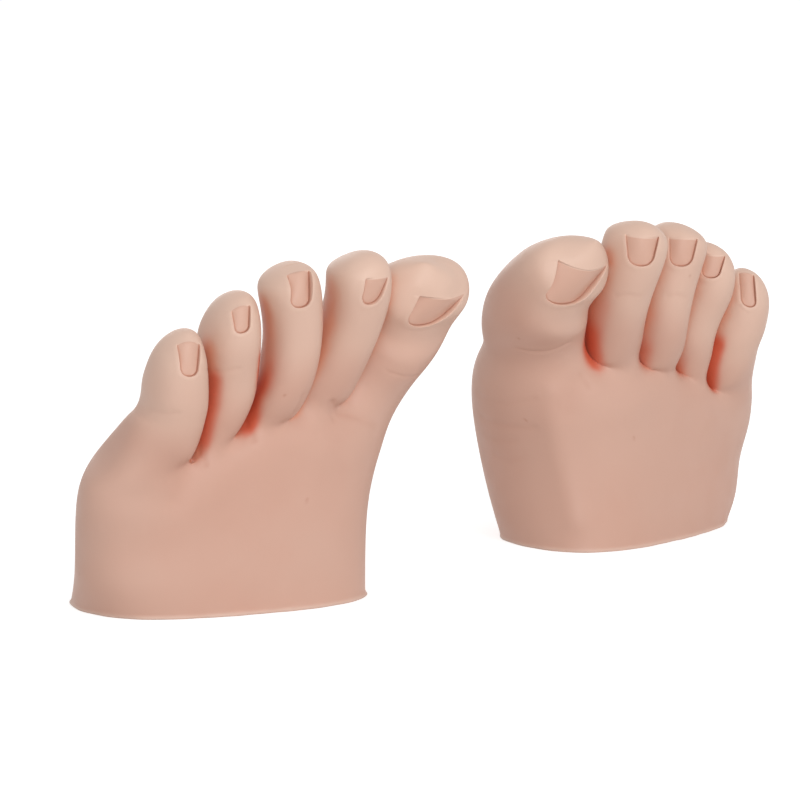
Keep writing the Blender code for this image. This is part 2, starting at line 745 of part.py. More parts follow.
def main():
    clear_scene()
    mesh = smooth_skin()
    materials = {look["name"]: make_material(look) for look in (SILICONE, FOAM, PLATE, WIRE)}
    pieces = [
        (make_forefoot("left_forefoot_skin", mesh), SILICONE, Vector()),
        (make_core("left_core"), FOAM, Vector()),
        (make_plate("left_base_plate"), PLATE, Vector()),
    ]
    for number, (name, toe) in enumerate(TOES.items()):
        hinge = hinge_frame(toe)[0]
        pieces.append((make_toe(f"left_{name}", mesh, number + 1, toe), SILICONE, hinge))
        wire = tube(f"left_{name}_wire", wire_route(toe), WIRE_RADIUS)
        pieces.append((wire, WIRE, hinge))
    left = stand("left_foot", LEFT_PLACE, LEFT_TURN)
    right = stand("right_foot", RIGHT_PLACE, RIGHT_TURN)
    flip = Vector((-1.0, 1.0, 1.0))
    for thing, look, origin in pieces:
        other = mirrored(thing, thing.name.replace("left_", "right_"))
        finish(thing, materials[look["name"]], origin, left)
        finish(other, materials[look["name"]], origin * flip, right)
    for name, toe in TOES.items():
        centre, across, _, _ = hinge_frame(toe)
        for empty, side, sign in ((left, "left", 1.0), (right, "right", -1.0)):
            turn = Matrix.Rotation(empty.rotation_euler.z, 3, "Z")
            place = turn @ Vector((centre.x * sign, centre.y, centre.z)) + empty.location
            axis = turn @ Vector((across.x, 0.0, across.z * sign))
            print(f"{side}_{name} hinge", [round(v, 5) for v in place], [round(v, 4) for v in axis])


main()
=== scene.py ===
# Nail practice feet: a left and a right forefoot in soft flesh-coloured silicone, stood on their cut
# faces with the toes up. The skin of each foot is one smooth surface, carved and coloured, then
# parted at the toes' roots into a piece for each toe.
import math
import bmesh
import bpy
import numpy as np
from mathutils import Matrix, Vector
from mathutils.bvhtree import BVHTree


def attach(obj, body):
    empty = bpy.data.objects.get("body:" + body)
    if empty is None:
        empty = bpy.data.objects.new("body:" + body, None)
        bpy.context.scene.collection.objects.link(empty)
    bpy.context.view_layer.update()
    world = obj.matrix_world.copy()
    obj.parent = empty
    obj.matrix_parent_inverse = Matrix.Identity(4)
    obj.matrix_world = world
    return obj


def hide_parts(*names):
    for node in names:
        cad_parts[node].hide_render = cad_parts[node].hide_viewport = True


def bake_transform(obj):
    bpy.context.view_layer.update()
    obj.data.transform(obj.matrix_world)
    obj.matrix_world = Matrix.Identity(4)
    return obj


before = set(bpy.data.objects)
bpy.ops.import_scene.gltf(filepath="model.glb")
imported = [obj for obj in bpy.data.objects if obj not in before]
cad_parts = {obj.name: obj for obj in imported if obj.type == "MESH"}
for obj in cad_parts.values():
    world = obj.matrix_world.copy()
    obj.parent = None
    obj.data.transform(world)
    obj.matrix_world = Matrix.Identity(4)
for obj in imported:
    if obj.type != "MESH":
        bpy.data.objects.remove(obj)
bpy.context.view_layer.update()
mm = 0.001
print("frame loaded:", len(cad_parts), "nodes")

# where the feet stand, and how far each one is turned
stance = {
    "left": {"place": (-0.0531, -0.0483), "turn": 28.5, "side": 1.0},
    "right": {"place": (0.0545, 0.0469), "turn": 44.0, "side": -1.0},
}

# ---- the shape of a left foot, in its own frame: +X to the big toe, -Y the back with the nails
forefoot = {
    "halfWidth": 0.040, "depth": 0.050, "webHeight": 0.050, "groove": 0.002,
    # height, centre, half width, back at the outer and inner side, sole at the outer and inner side
    "sections": [
        (0.00, 0.03, 0.95, -0.29, -0.44, 0.60, 0.52),
        (0.20, 0.02, 0.99, -0.32, -0.42, 0.39, 0.65),
        (0.45, 0.03, 1.01, -0.30, -0.42, 0.34, 0.75),
        (0.68, 0.07, 1.09, -0.36, -0.38, 0.25, 0.71),
        (0.87, 0.11, 1.13, -0.35, -0.44, 0.15, 0.63),
    ],
    "fullness": 2.6, "grooveStart": 0.6, "end": 0.90,
    "topCentre": 0.15, "topWidth": 1.06, "topSpread": 1.2,
    # where the toes leave it: across, back, its height, sole, its height
    "webs": [
        (-0.82, -0.30, 0.78, 0.09, 0.83),
        (-0.65, -0.42, 0.74, 0.07, 0.82),
        (-0.33, -0.28, 0.76, 0.08, 0.84),
        (-0.17, -0.40, 0.86, 0.10, 0.92),
        (-0.01, -0.26, 0.93, 0.10, 0.97),
        (0.16, -0.43, 0.94, 0.12, 1.00),
        (0.33, -0.26, 0.99, 0.14, 1.02),
        (0.50, -0.42, 0.96, 0.16, 1.02),
        (0.70, -0.17, 0.98, 0.18, 1.24),
        (0.93, -0.35, 1.01, 0.29, 1.17),
        (1.19, -0.17, 1.11, 0.24, 1.14),
    ],
    "outerSide": (-0.85, -0.11, 0.77), "innerSide": (1.25, 0.02, 1.09),
}

# the toes from the outer side; root on the forefoot, the other points off it in toe lengths
toes = {
    "little_toe": {
        "length": 0.031, "width": 0.0165, "depth": 0.017,
        "root": (-0.57, -0.25, 0.89), "knuckle": (0.07, -0.04, 0.15),
        "pad": (0.06, -0.17, 0.49), "tip": (0.20, -0.33, 0.88),
        "widths": (1.12, 1.03, 0.90), "backs": (0.60, 0.66, 0.56), "soles": (0.56, 0.41, 0.43),
    },
    "fourth_toe": {
        "length": 0.037, "width": 0.0145, "depth": 0.017,
        "root": (-0.21, -0.21, 0.90), "knuckle": (0.09, -0.08, 0.30),
        "pad": (0.05, -0.22, 0.66), "tip": (0.16, -0.37, 0.93),
        "widths": (0.70, 1.00, 0.95), "backs": (0.55, 0.52, 0.55), "soles": (0.53, 0.47, 0.55),
    },
    "third_toe": {
        "length": 0.043, "width": 0.0155, "depth": 0.017,
        "root": (0.17, -0.26, 0.99), "knuckle": (0.08, -0.12, 0.30),
        "pad": (0.02, -0.19, 0.74), "tip": (-0.02, -0.20, 0.86),
        "widths": (0.72, 0.86, 0.93), "backs": (0.54, 0.49, 0.57), "soles": (0.53, 0.50, 0.40),
    },
    "second_toe": {
        "length": 0.045, "width": 0.0168, "depth": 0.017,
        "root": (0.50, -0.23, 1.02), "knuckle": (0.12, -0.09, 0.33),
        "pad": (0.13, -0.28, 0.71), "tip": (0.10, -0.29, 0.84),
        "widths": (0.86, 0.87, 0.88), "backs": (0.59, 0.57, 0.53), "soles": (0.49, 0.40, 0.53),
    },
    "big_toe": {
        "length": 0.045, "width": 0.0290, "depth": 0.022,
        "root": (0.84, -0.05, 1.04), "knuckle": (0.24, -0.06, 0.27),
        "pad": (0.28, -0.34, 0.57), "tip": (0.28, -0.60, 0.63),
        "widths": (0.84, 0.87, 0.89), "backs": (0.51, 0.65, 0.47), "soles": (0.66, 0.66, 0.37),
        "firstRing": 0.30,
    },
}
ringPoints = 24
shankRings = ((0.0, 1.0), (0.30, 1.0), (0.62, 0.96), (0.86, 0.99), (1.0, 1.0))
tipRings = ((0.50, 0.90), (0.86, 0.52))
corner = 0.76
tipReach = 0.07  # how far the end point lies past the tip, as a share of the way from pad to tip
swell = 6.0 / (4.0 + 2.0 * math.cos(math.pi / 4.0))  # the smoothing pulls an eight-point ring in


def newObject(name, data):
    thing = bpy.data.objects.new(name, data)
    bpy.context.scene.collection.objects.link(thing)
    return thing


def lerp(a, b, t):
    return a + (b - a) * t


def smoothStep(t):
    t = np.clip(t, 0.0, 1.0)
    return t * t * (3.0 - 2.0 * t)


def softMin(a, b, width):
    t = np.clip(0.5 + 0.5 * (b - a) / width, 0.0, 1.0)
    return lerp(b, a, t) - width * t * (1.0 - t)


def footPoint(shares):
    return Vector((shares[0] * forefoot["halfWidth"], shares[1] * forefoot["depth"],
                   shares[2] * forefoot["webHeight"]))


def sectionAt(height):
    rows = list(zip(*forefoot["sections"]))
    return [float(np.interp(height, rows[0], row)) for row in rows[1:]]


def sectionPoint(section, spread, rise, inset=0.0):
    centre, halfWidth, backOuter, backInner, soleOuter, soleInner = section
    t = (spread + 1.0) / 2.0
    back = forefoot["depth"] * lerp(backOuter, backInner, t)
    sole = forefoot["depth"] * lerp(soleOuter, soleInner, t)
    x = forefoot["halfWidth"] * centre + (forefoot["halfWidth"] * halfWidth - inset) * spread
    return x, (back + sole) / 2.0 + ((sole - back) / 2.0 - inset) * rise


def toeLine(toe):
    # a cubic through root, knuckle, pad and tip, by the way along them
    root = footPoint(toe["root"])
    points = [root] + [root + Vector(toe[key]) * toe["length"] for key in ("knuckle", "pad", "tip")]
    reach = [0.0]
    for a, b in zip(points, points[1:]):
        reach.append(reach[-1] + (b - a).length)
    return np.polyfit(reach, np.array(points), 3), reach, points


def endPoint(toe):
    points = toeLine(toe)[2]
    return points[3] + (points[3] - points[2]) * tipReach


def toeFrame(toe, place):
    fit = toeLine(toe)[0]
    centre = Vector(np.array([place ** 3, place ** 2, place, 1.0]) @ fit)
    along = Vector(np.array([3.0 * place ** 2, 2.0 * place, 1.0, 0.0]) @ fit).normalized()
    across = Vector((along.z, 0.0, -along.x)).normalized()
    return centre, across, along, across.cross(along)


def upFrom(toe):
    # the toe's direction at its root, without its lean to the side
    along = toeFrame(toe, 0.0)[2]
    return Vector((0.0, along.y, along.z)).normalized()


def toeRings(toe):
    reach = toeLine(toe)[1]
    pad, tip = reach[2], reach[3]
    stations = [(pad * lerp(toe.get("firstRing", 0.0), 1.0, t), size) for t, size in shankRings]
    stations += [(lerp(pad, tip, t), size) for t, size in tipRings]
    rings = []
    for place, size in stations:
        centre, across, _, back = toeFrame(toe, place)
        sizes = []
        fullSizes = {"widths": toe["width"] / 2.0, "backs": toe["depth"], "soles": toe["depth"]}
        for key, full in fullSizes.items():
            sizes.append(float(np.interp(place, reach[:3], toe[key])) * full * size * swell)
        side, out, under = across * sizes[0], back * sizes[1], back * sizes[2]
        rings.append([centre - side * corner + out * corner, centre + out,
                      centre + side * corner + out * corner, centre + side,
                      centre + side * corner - under * corner, centre - under,
                      centre - side * corner - under * corner, centre - side])
    return rings, endPoint(toe)


def forefootRings():
    webs = forefoot["webs"]
    last = len(webs) - 1
    rings = []
    for row in forefoot["sections"]:
        height, section = row[0], row[1:]
        backs, soles = [], []
        for i, web in enumerate(webs):
            foot = lerp(-forefoot["end"], forefoot["end"], i / last)
            top = (web[0] - forefoot["topCentre"]) / forefoot["topWidth"]
            spread = lerp(foot, top, height ** forefoot["topSpread"])
            rise = (1.0 - abs(spread) ** forefoot["fullness"]) ** (1.0 / forefoot["fullness"])
            groove = 0.0
            if i % 2 == 0 and 0 < i < last:
                start = forefoot["grooveStart"]
                groove = forefoot["groove"] * max(0.0, height - start) / (1.0 - start)
            x, y = sectionPoint(section, spread, -rise)
            backs.append(Vector((x, y + groove, height * web[2] * forefoot["webHeight"])))
            x, y = sectionPoint(section, spread, rise)
            soles.append(Vector((x, y, height * web[4] * forefoot["webHeight"])))
        sides = []
        for key, spread in (("outerSide", -1.0), ("innerSide", 1.0)):
            x, y = sectionPoint(section, spread, 0.0)
            sides.append(Vector((x, y, height * forefoot[key][2] * forefoot["webHeight"])))
        rings.append([sides[0]] + backs + [sides[1]] + soles[::-1])
    backs = [footPoint((web[0], web[1], web[2])) for web in webs]
    soles = [footPoint((web[0], web[3], web[4])) for web in webs]
    sides = [footPoint(forefoot["outerSide"]), footPoint(forefoot["innerSide"])]
    rings.append([sides[0]] + backs + [sides[1]] + soles[::-1])
    return rings


def skinCage():
    # material index 0 is the forefoot, 1 to 5 the toes from the little one
    bm = bmesh.new()
    rings = [[bm.verts.new(p) for p in ring] for ring in forefootRings()]
    n = ringPoints
    for lower, upper in zip(rings, rings[1:]):
        for i in range(n):
            bm.faces.new((lower[i], lower[(i + 1) % n], upper[(i + 1) % n], upper[i]))
    top = rings[-1]
    webs = {1: top[0], n // 2 - 1: top[n // 2]}
    for i in range(3, n // 2 - 1, 2):
        webs[i] = bm.verts.new((top[i].co + top[n - i].co) / 2.0)
    for number, toe in enumerate(toes.values()):
        i = 1 + 2 * number
        before = [top[i], top[i + 1], top[i + 2], webs[i + 2],
                  top[n - i - 2], top[n - i - 1], top[n - i], webs[i]]
        rows, end = toeRings(toe)
        for row in rows:
            ring = [bm.verts.new(p) for p in row]
            for k in range(8):
                face = bm.faces.new((before[k], before[(k + 1) % 8], ring[(k + 1) % 8], ring[k]))
                face.material_index = number + 1
            before = ring
        tip = bm.verts.new(end)
        for k in range(0, 8, 2):
            face = bm.faces.new((before[k - 1], before[k], before[k + 1], tip))
            face.material_index = number + 1
    mesh = meshFrom(bm, "skinCage")
    for _ in range(len(toes) + 1):
        mesh.materials.append(None)
    return mesh


def subdivided(mesh, levels, onLimit):
    thing = newObject("skinWork", mesh)
    smoother = thing.modifiers.new("smooth", "SUBSURF")
    smoother.levels = levels
    smoother.use_limit_surface = onLimit
    bpy.context.view_layer.update()
    graph = bpy.context.evaluated_depsgraph_get()
    fine = bpy.data.meshes.new_from_object(thing.evaluated_get(graph), depsgraph=graph)
    bpy.data.objects.remove(thing, do_unlink=True)
    return fine


def gathered(items, key, size=1, kind=float):
    values = np.empty(len(items) * size, dtype=kind)
    items.foreach_get(key, values)
    return values.reshape(-1, size) if size > 1 else values


def meshArrays(mesh):
    starts = gathered(mesh.polygons, "loop_start", kind=int)
    faces = np.split(gathered(mesh.loops, "vertex_index", kind=int), starts[1:])
    return gathered(mesh.vertices, "co", 3), faces, gathered(mesh.polygons, "material_index", kind=int)


def pointsOf(faces, chosen):
    # the points of the faces that are marked as chosen
    return np.unique(np.concatenate([f for f, c in zip(faces, chosen) if c]))


def treeOf(points, faces):
    return BVHTree.FromPolygons([tuple(p) for p in points], [tuple(f) for f in faces])


def meshOf(name, points, faces):
    mesh = bpy.data.meshes.new(name)
    mesh.from_pydata(points, [], faces)
    return mesh


def meshFrom(bm, name):
    mesh = bpy.data.meshes.new(name)
    bm.to_mesh(mesh)
    bm.free()
    return mesh


def edgePairs(faces):
    pairs = []
    for size in {len(f) for f in faces}:
        block = np.array([f for f in faces if len(f) == size])
        for k in range(size):
            pairs.append(block[:, (k, (k + 1) % size)])
    return np.sort(np.concatenate(pairs), axis=1)


# how closed in each spot is, from rays out of the skin: it paints a red glow of light through the silicone,
# with shade, into the hollows between the toes
hollowGlow = {"rays": 40, "reach": 22 * mm, "start": 0.4 * mm, "glowFrom": 0.4}


def markHollows(mesh):
    co, faces, _ = meshArrays(mesh)
    normals = gathered(mesh.vertex_normals, "vector", 3)
    tree = treeOf(co, faces)
    golden = math.pi * (3.0 - math.sqrt(5.0))
    shell = []
    for i in range(hollowGlow["rays"]):
        rise = 1.0 - (i + 0.5) / hollowGlow["rays"]
        ring = math.sqrt(1.0 - rise * rise)
        shell.append(Vector((ring * math.cos(golden * i), ring * math.sin(golden * i), rise)))
    values = []
    for p, n in zip(co, normals):
        spot, up = Vector(p), Vector(n)
        turn = Vector((0, 0, 1)).rotation_difference(up)
        closed = 0.0
        for ray in shell:
            hit = tree.ray_cast(spot + up * hollowGlow["start"], turn @ ray, hollowGlow["reach"])
            if hit[0] is not None:
                closed += ray.z * (1.0 - (hit[3] / hollowGlow["reach"]) ** 2)
        values.append(closed / sum(ray.z for ray in shell))
    layer = mesh.attributes.new("hollowGlow", "FLOAT", "POINT")
    layer.data.foreach_set("value", values)


# each toe's back, and the free side of the big toe, run into the foot without a step
rootBlend = {
    "below": 12 * mm, "above": 13 * mm, "share": 0.95, "under": 2 * mm,
    "lipBelow": 13 * mm, "lipAbove": -3 * mm, "lipShare": 1.6,
    "bigReach": 15 * mm, "bigFrom": 0.72, "bigSole": 0.16, "bigValley": 0.05, "bigBack": 0.5,
    "bigCap": 9.5 * mm,
}


def neighbours(faces, count):
    around = [[] for _ in range(count)]
    for a, b in np.unique(edgePairs(faces), axis=0).tolist():
        around[a].append(b)
        around[b].append(a)
    return around


def evenRows(points, around, columns):
    # each row takes the mean of a point's neighbours away from it
    rows = np.zeros((len(points), len(columns)))
    for k, v in enumerate(points):
        rows[k, columns[v]] = 1.0
        for j in around[v]:
            rows[k, columns[j]] -= 1.0 / len(around[v])
    return rows


def fair(co, faces, zone):
    # the skin in the zone becomes the smoothest one that joins the rest
    inner = np.nonzero(zone)[0].tolist()
    around = neighbours(faces, len(co))
    ring = sorted(set(inner) | {j for i in inner for j in around[i]})
    wide = sorted(set(ring) | {j for i in ring for j in around[i]})
    ringAt, wideAt = {v: k for k, v in enumerate(ring)}, {v: k for k, v in enumerate(wide)}
    whole = evenRows(inner, around, ringAt) @ evenRows(ring, around, wideAt)
    held = [k for k, v in enumerate(wide) if not zone[v]]
    fixed = whole[:, held] @ co[[wide[k] for k in held]]
    co[inner] = np.linalg.solve(whole[:, [wideAt[v] for v in inner]], -fixed)


def fairRoots(mesh):
    co, faces, region = meshArrays(mesh)
    owner = np.zeros(len(co), dtype=int)
    for f, r in zip(faces, region):
        owner[f] = np.maximum(owner[f], r)
    zone = np.zeros(len(co), dtype=bool)
    for number, (name, toe) in enumerate(toes.items()):
        centre, across, along, back = toeFrame(toe, 0.0)
        local = (co - np.array(centre)) @ np.array((across, along, back)).T
        half = toe["width"] / 2.0 * toe["widths"][0]
        near = (local[:, 1] > -rootBlend["below"]) & (local[:, 1] < rootBlend["above"])
        near &= (owner == 0) | (owner == number + 1)
        near &= (np.abs(local[:, 0]) < rootBlend["share"] * half) & (local[:, 2] > rootBlend["under"])
        if name == "big_toe":
            near &= local[:, 0] > -rootBlend["bigBack"] * half
        lip = (owner == 0) & (local[:, 2] > rootBlend["under"])
        lip &= np.abs(local[:, 0]) < rootBlend["lipShare"] * half
        lip &= (local[:, 1] > -rootBlend["lipBelow"]) & (local[:, 1] < rootBlend["lipAbove"])
        zone |= near | lip
        if name == "big_toe":
            seam = co[np.intersect1d(pointsOf(faces, region == number + 1), pointsOf(faces, region == 0))]
            seam = seam[(seam[:, 0] > rootBlend["bigFrom"] * forefoot["halfWidth"])
                        & (seam[:, 1] < rootBlend["bigSole"] * forefoot["depth"])]
            far = np.linalg.norm(co[:, None, :] - seam[None, :, :], axis=2).min(axis=1)
            free = local[:, 0] > -rootBlend["bigValley"] * half
            zone |= (far < rootBlend["bigReach"]) & free & ((owner == 0) | (owner == number + 1))
    fair(co, faces, zone)
    end = np.array(endPoint(toes["big_toe"]))
    bigNumber = list(toes).index("big_toe") + 1
    cap = (owner == bigNumber) & (np.linalg.norm(co - end, axis=1) < rootBlend["bigCap"])
    fair(co, faces, cap)
    mesh.vertices.foreach_set("co", co.ravel())
    mesh.update()
    print("roots of the toes smoothed:", int(zone.sum()), "points, and the big toe's end:", int(cap.sum()))


coarse = subdivided(skinCage(), 2, False)
fairRoots(coarse)
markHollows(coarse)
smooth = subdivided(coarse, 2, True)
print("smooth skin:", len(smooth.polygons), "faces")


# ---- the camera stands as the photograph's did, and the nails are set out through it
view = {"spot": (-0.00891, -0.99126, 0.19557), "tilt": 8.738, "lens": 173.98, "sensor": 36.0,
        "pixels": 800, "clip": 20.0}
cameraData = bpy.data.cameras.new("studioCamera")
cameraData.lens = view["lens"]
cameraData.sensor_width = view["sensor"]
cameraData.clip_end = view["clip"]
camera = newObject("studioCamera", cameraData)
camera.location = view["spot"]
camera.rotation_euler = (math.radians(90.0 - view["tilt"]), 0.0, 0.0)
bpy.context.scene.camera = camera
cameraTurn = camera.rotation_euler.to_matrix()


def castThrough(tree, x, y):
    # the skin under a spot of the picture, given in pixels
    reach = view["lens"] / view["sensor"] * view["pixels"]
    middle = view["pixels"] / 2.0
    ray = cameraTurn @ Vector((x - middle, middle - y, -reach)).normalized()
    start = Vector(view["spot"])
    hit = tree.ray_cast(start, ray)[0]
    if hit is None:  # just past the outline: the skin nearest to the ray
        depth = (tree.find_nearest(start + ray)[0] - start).dot(ray)
        hit = tree.find_nearest(start + ray * depth)[0]
    return hit


def footMatrix(side):
    spot = stance[side]
    mirror = Matrix.Diagonal((spot["side"], 1.0, 1.0, 1.0))
    turn = Matrix.Rotation(math.radians(spot["turn"]), 4, "Z")
    return Matrix.Translation((*spot["place"], 0.0)) @ turn @ mirror


# ---- nail beds: six spots of each plate in the picture, at its root on the left and right, at its free
# edge on the left and right, then in the middle of the root and of the free edge
nailCorners = {
    "left": {
        "little_toe": ((181, 372), (198, 374), (177, 346), (200, 345), (189.5, 376.5), (188.5, 341.5)),
        "fourth_toe": ((235, 330), (250, 331), (232, 313), (249.5, 305), (242.5, 333), (240.5, 306)),
        "third_toe": ((291, 303), (311, 305), (288, 277), (309, 270), (302, 307.5), (300, 271)),
        "second_toe": ((361.5, 301), (380.5, 300), (366, 281), (388, 277), (372, 305), (375, 279.5)),
        "big_toe": ((406, 322), (442, 320), (420, 296), (464, 296), (421, 327), (440, 300)),
    },
    "right": {
        "little_toe": ((741, 303), (756.5, 304), (739, 273), (758, 272), (748.5, 307), (748.5, 273)),
        "fourth_toe": ((701.5, 274.5), (719.5, 275.5), (703, 253), (725.5, 256), (710, 278), (714.5, 256.5)),
        "third_toe": ((669.5, 262), (692, 263), (669, 239), (697.5, 240), (680.5, 266.5), (683, 239.5)),
        "second_toe": ((628, 261), (653, 263), (625.5, 236), (659, 237.5), (642, 266.5), (643, 238.5)),
        "big_toe": ((544, 296), (581, 302), (558.5, 263), (613, 265), (565, 305.5), (585, 271.5)),
    },
}
bed = {  # lengths in mm: the wall round a plate, the crevice at its foot and the fold of skin over it
    "wall": 0.30, "crevice": 0.26, "creviceSpot": 0.20, "creviceWidth": 0.14, "creviceFrom": 0.25,
    "creviceTip": 0.7, "creviceRoot": 1.3, "fold": 0.12, "foldSpot": 0.8, "foldWidth": 0.70,
    "rise": 0.6, "softSide": 0.5, "crown": 0.45, "rootSides": 0.8, "frontShare": 0.35, "frontDepth": 2.0,
    "ledgeStart": 0.5, "ledgeFrom": 0.35, "ledgeSpan": 0.9, "mostBow": 3.0, "mostDip": 3.5,
    "lift": 10, "fine": 3, "margin": 2.4, "below": 4.0, "turns": 6, "pull": 0.6,
}
# in mm: how deep the plate lies at its root, sides and free edge, how far the tip steps back under the
# free edge and over what length, and the plate's round corners
nailKeys = ("root", "sides", "tip", "ledge", "ledgeFade", "corner")
nailLooks = {
    "little_toe": (0.70, 0.38, 0.05, 0.25, 4.0, 1.0),
    "fourth_toe": (0.70, 0.38, 0.05, 0.25, 4.0, 1.0),
    "third_toe": (0.80, 0.42, 0.06, 0.30, 4.0, 1.3),
    "second_toe": (0.80, 0.42, 0.06, 0.30, 4.0, 1.5),
    "big_toe": (1.05, 0.65, 0.08, 0.30, 7.0, 2.0),
}


def nailSeat(tree, corners):
    # the plate's frame: middle of its root, across, ahead and out, with its sizes and the skin's height
    # over it in mm, at the root, the middle and the free edge
    rootLeft, rootRight, tipLeft, tipRight, rootMiddle, edgeMiddle = [castThrough(tree, *c) for c in corners]
    root, edge = (rootLeft + rootRight) / 2.0, (tipLeft + tipRight) / 2.0
    ahead = (edge - root).normalized()
    side = (rootRight - rootLeft + tipRight - tipLeft).normalized()
    out = side.cross(ahead).normalized()
    toSeat = np.linalg.inv(np.array((side, ahead, out)).T)
    lift = out * bed["lift"] * mm
    heights = []
    for t in (0.0, 0.5, 1.0):
        spot = root.lerp(edge, t)
        hit = tree.ray_cast(spot + lift, -out)[0]
        heights.append((hit - spot).dot(out) / mm if hit else 0.5)
    length = (edge - root).length / mm
    bow = -(toSeat @ np.array(rootMiddle - root))[1] / mm
    dip = length - (toSeat @ np.array(edgeMiddle - root))[1] / mm
    return {
        "root": root, "toSeat": toSeat, "out": out, "length": length, "heights": heights,
        "bow": float(np.clip(bow, 0.1, bed["mostBow"])), "dip": float(np.clip(dip, -1.0, bed["mostDip"])),
        "rootHalf": (rootRight - rootLeft).length / mm / 2.0,
        "tipHalf": (tipRight - tipLeft).length / mm / 2.0,
    }


def seatCoordinates(co, seat):
    return seat["toSeat"] @ (co - np.array(seat["root"])).T / mm


def refine(mesh, seats):
    # the skin round the nails gets finer faces
    region = meshArrays(mesh)[2]
    bm = bmesh.new()
    bm.from_mesh(mesh)
    bm.faces.ensure_lookup_table()
    middles = np.array([face.calc_center_median() for face in bm.faces])
    chosen = set()
    for number, seat in enumerate(seats.values()):
        side, ahead, out = seatCoordinates(middles, seat)
        near = (region == number + 1) & (out > -bed["below"])
        near &= np.abs(side) < seat["tipHalf"] + bed["margin"]
        near &= (ahead > -bed["margin"] - 1.0) & (ahead < seat["length"] + bed["margin"] + 1.0)
        chosen.update(np.nonzero(near)[0].tolist())
    edges = list({edge for i in chosen for edge in bm.faces[i].edges})
    bmesh.ops.subdivide_edges(bm, edges=edges, cuts=bed["fine"], use_grid_fill=True)
    return meshFrom(bm, "skinFine")


def relax(co, faces, free):
    # evens out the points marked free
    pairs = np.unique(edgePairs(faces), axis=0)
    pairs = pairs[free[pairs].any(axis=1)]
    for _ in range(bed["turns"]):
        total = np.zeros_like(co)
        count = np.zeros(len(co))
        for a, b in ((0, 1), (1, 0)):
            np.add.at(total, pairs[:, a], co[pairs[:, b]])
            np.add.at(count, pairs[:, a], 1.0)
        co[free] = lerp(co[free], total[free] / count[free][:, None], bed["pull"])


def carveNail(co, seat, depths):
    # gives the moved points, how much painted shade darkens the crevice round the plate, and where the plate
    # lies
    look = dict(zip(nailKeys, depths))
    side, ahead, out = seatCoordinates(co, seat)
    length = seat["length"]
    t = np.clip(ahead / length, -0.4, 1.4)
    half = lerp(seat["rootHalf"], seat["tipHalf"], np.clip(t, 0.0, 1.0))
    spread = np.clip(np.abs(side) / half, 0.0, 1.2)
    rootGap = ahead + seat["bow"] * (1.0 - spread ** 2)
    gap = softMin(half - np.abs(side), rootGap, look["corner"])
    edge = length - seat["dip"] * (1.0 - np.minimum(spread, 1.0) ** 2)
    beyond = np.maximum(0.0, ahead - edge)
    share = np.minimum(ahead, edge) / length
    atRoot, atMiddle, atTip = seat["heights"]
    low, high = atRoot - look["root"], atTip - look["tip"]
    crown = bed["crown"] * (atMiddle - (atRoot + atTip) / 2.0)
    middle = lerp(low, high, share) + crown * 4.0 * share * (1.0 - share)
    sides = -lerp(look["root"] * bed["rootSides"], look["sides"], np.clip(share, 0.0, 1.0))
    plate = middle - (middle - sides) * spread ** 2
    front = out > -bed["frontShare"] * seat["tipHalf"] - bed["frontDepth"]
    over = out - plate
    inside = smoothStep(gap / bed["wall"] + 0.5)
    fade = (1.0 - smoothStep(beyond / bed["rise"])) * front
    depth = np.maximum(0.0, over) * inside * fade
    # the crevice's painted shade, in a narrow band round the plate; it also sinks the skin there
    crevice = np.exp(-((gap - bed["creviceSpot"]) / bed["creviceWidth"]) ** 2) * fade
    crevice *= np.clip(depth / bed["creviceFrom"], 0.0, 1.0)
    crevice *= lerp(bed["softSide"], 1.0, smoothStep(side / half * 0.5 + 0.5))
    fold = np.exp(-((gap + bed["foldSpot"]) / bed["foldWidth"]) ** 2) * fade * (gap < 0.5)
    ledge = (1.0 - np.exp(-beyond / bed["ledgeStart"])) * np.exp(-beyond / look["ledgeFade"])
    ledge *= 1.0 - smoothStep((np.abs(side) / half - bed["ledgeFrom"]) / bed["ledgeSpan"])
    deeper = lerp(bed["creviceTip"], bed["creviceRoot"], smoothStep(1.0 - t * 2.0))
    shift = -depth - look["ledge"] * ledge * front - bed["crevice"] * crevice * deeper + bed["fold"] * fold
    return co + np.outer(shift * mm, seat["out"]), crevice, inside * front * (beyond <= 0.0)


def normalsOf(co, faces):
    mesh = meshOf("normalsWork", co.tolist(), [f.tolist() for f in faces])
    values = gathered(mesh.vertex_normals, "vector", 3)
    bpy.data.meshes.remove(mesh)
    return values


# ---- the cut face: a thin lip round it, the edge of the cut and the rim round the base plate
baseCut = {
    "wallThickness": 8 * mm, "corners": 24, "edge": 0.25 * mm, "deep": 4.17 * mm, "rings": (0.3, 0.65),
    "lip": 0.35 * mm, "lipHeight": 1.5 * mm, "waves": ((0.35, 9.0, 1.0), (0.25, 23.0, 0.0)),
}


def cavityOutline(matrix):
    section = sectionAt(0.0)
    points = []
    for i in range(baseCut["corners"]):
        angle = 2.0 * math.pi * i / baseCut["corners"]
        cosine, sine = math.cos(angle), math.sin(angle)
        spread = math.copysign(abs(cosine) ** (2.0 / forefoot["fullness"]), cosine)
        rise = math.copysign(abs(sine) ** (2.0 / forefoot["fullness"]), sine)
        x, y = sectionPoint(section, spread, rise, baseCut["wallThickness"])
        points.append((matrix @ Vector((x, y, 0.0)))[:2])
    return np.array(points)


def outlineReach(points, centre, directions):
    # how far the outline lies from its middle in each direction
    reach = np.zeros(len(directions))
    for a, b in zip(points - centre, np.roll(points, -1, axis=0) - centre):
        span = b - a
        bottom = directions[:, 0] * span[1] - directions[:, 1] * span[0]
        bottom = np.where(np.abs(bottom) < 1e-12, 1e-12, bottom)
        far = (a[0] * span[1] - a[1] * span[0]) / bottom
        along = (a[0] * directions[:, 1] - a[1] * directions[:, 0]) / bottom
        reach = np.where((far > 0) & (along >= -1e-6) & (along <= 1 + 1e-6), np.maximum(reach, far), reach)
    return reach


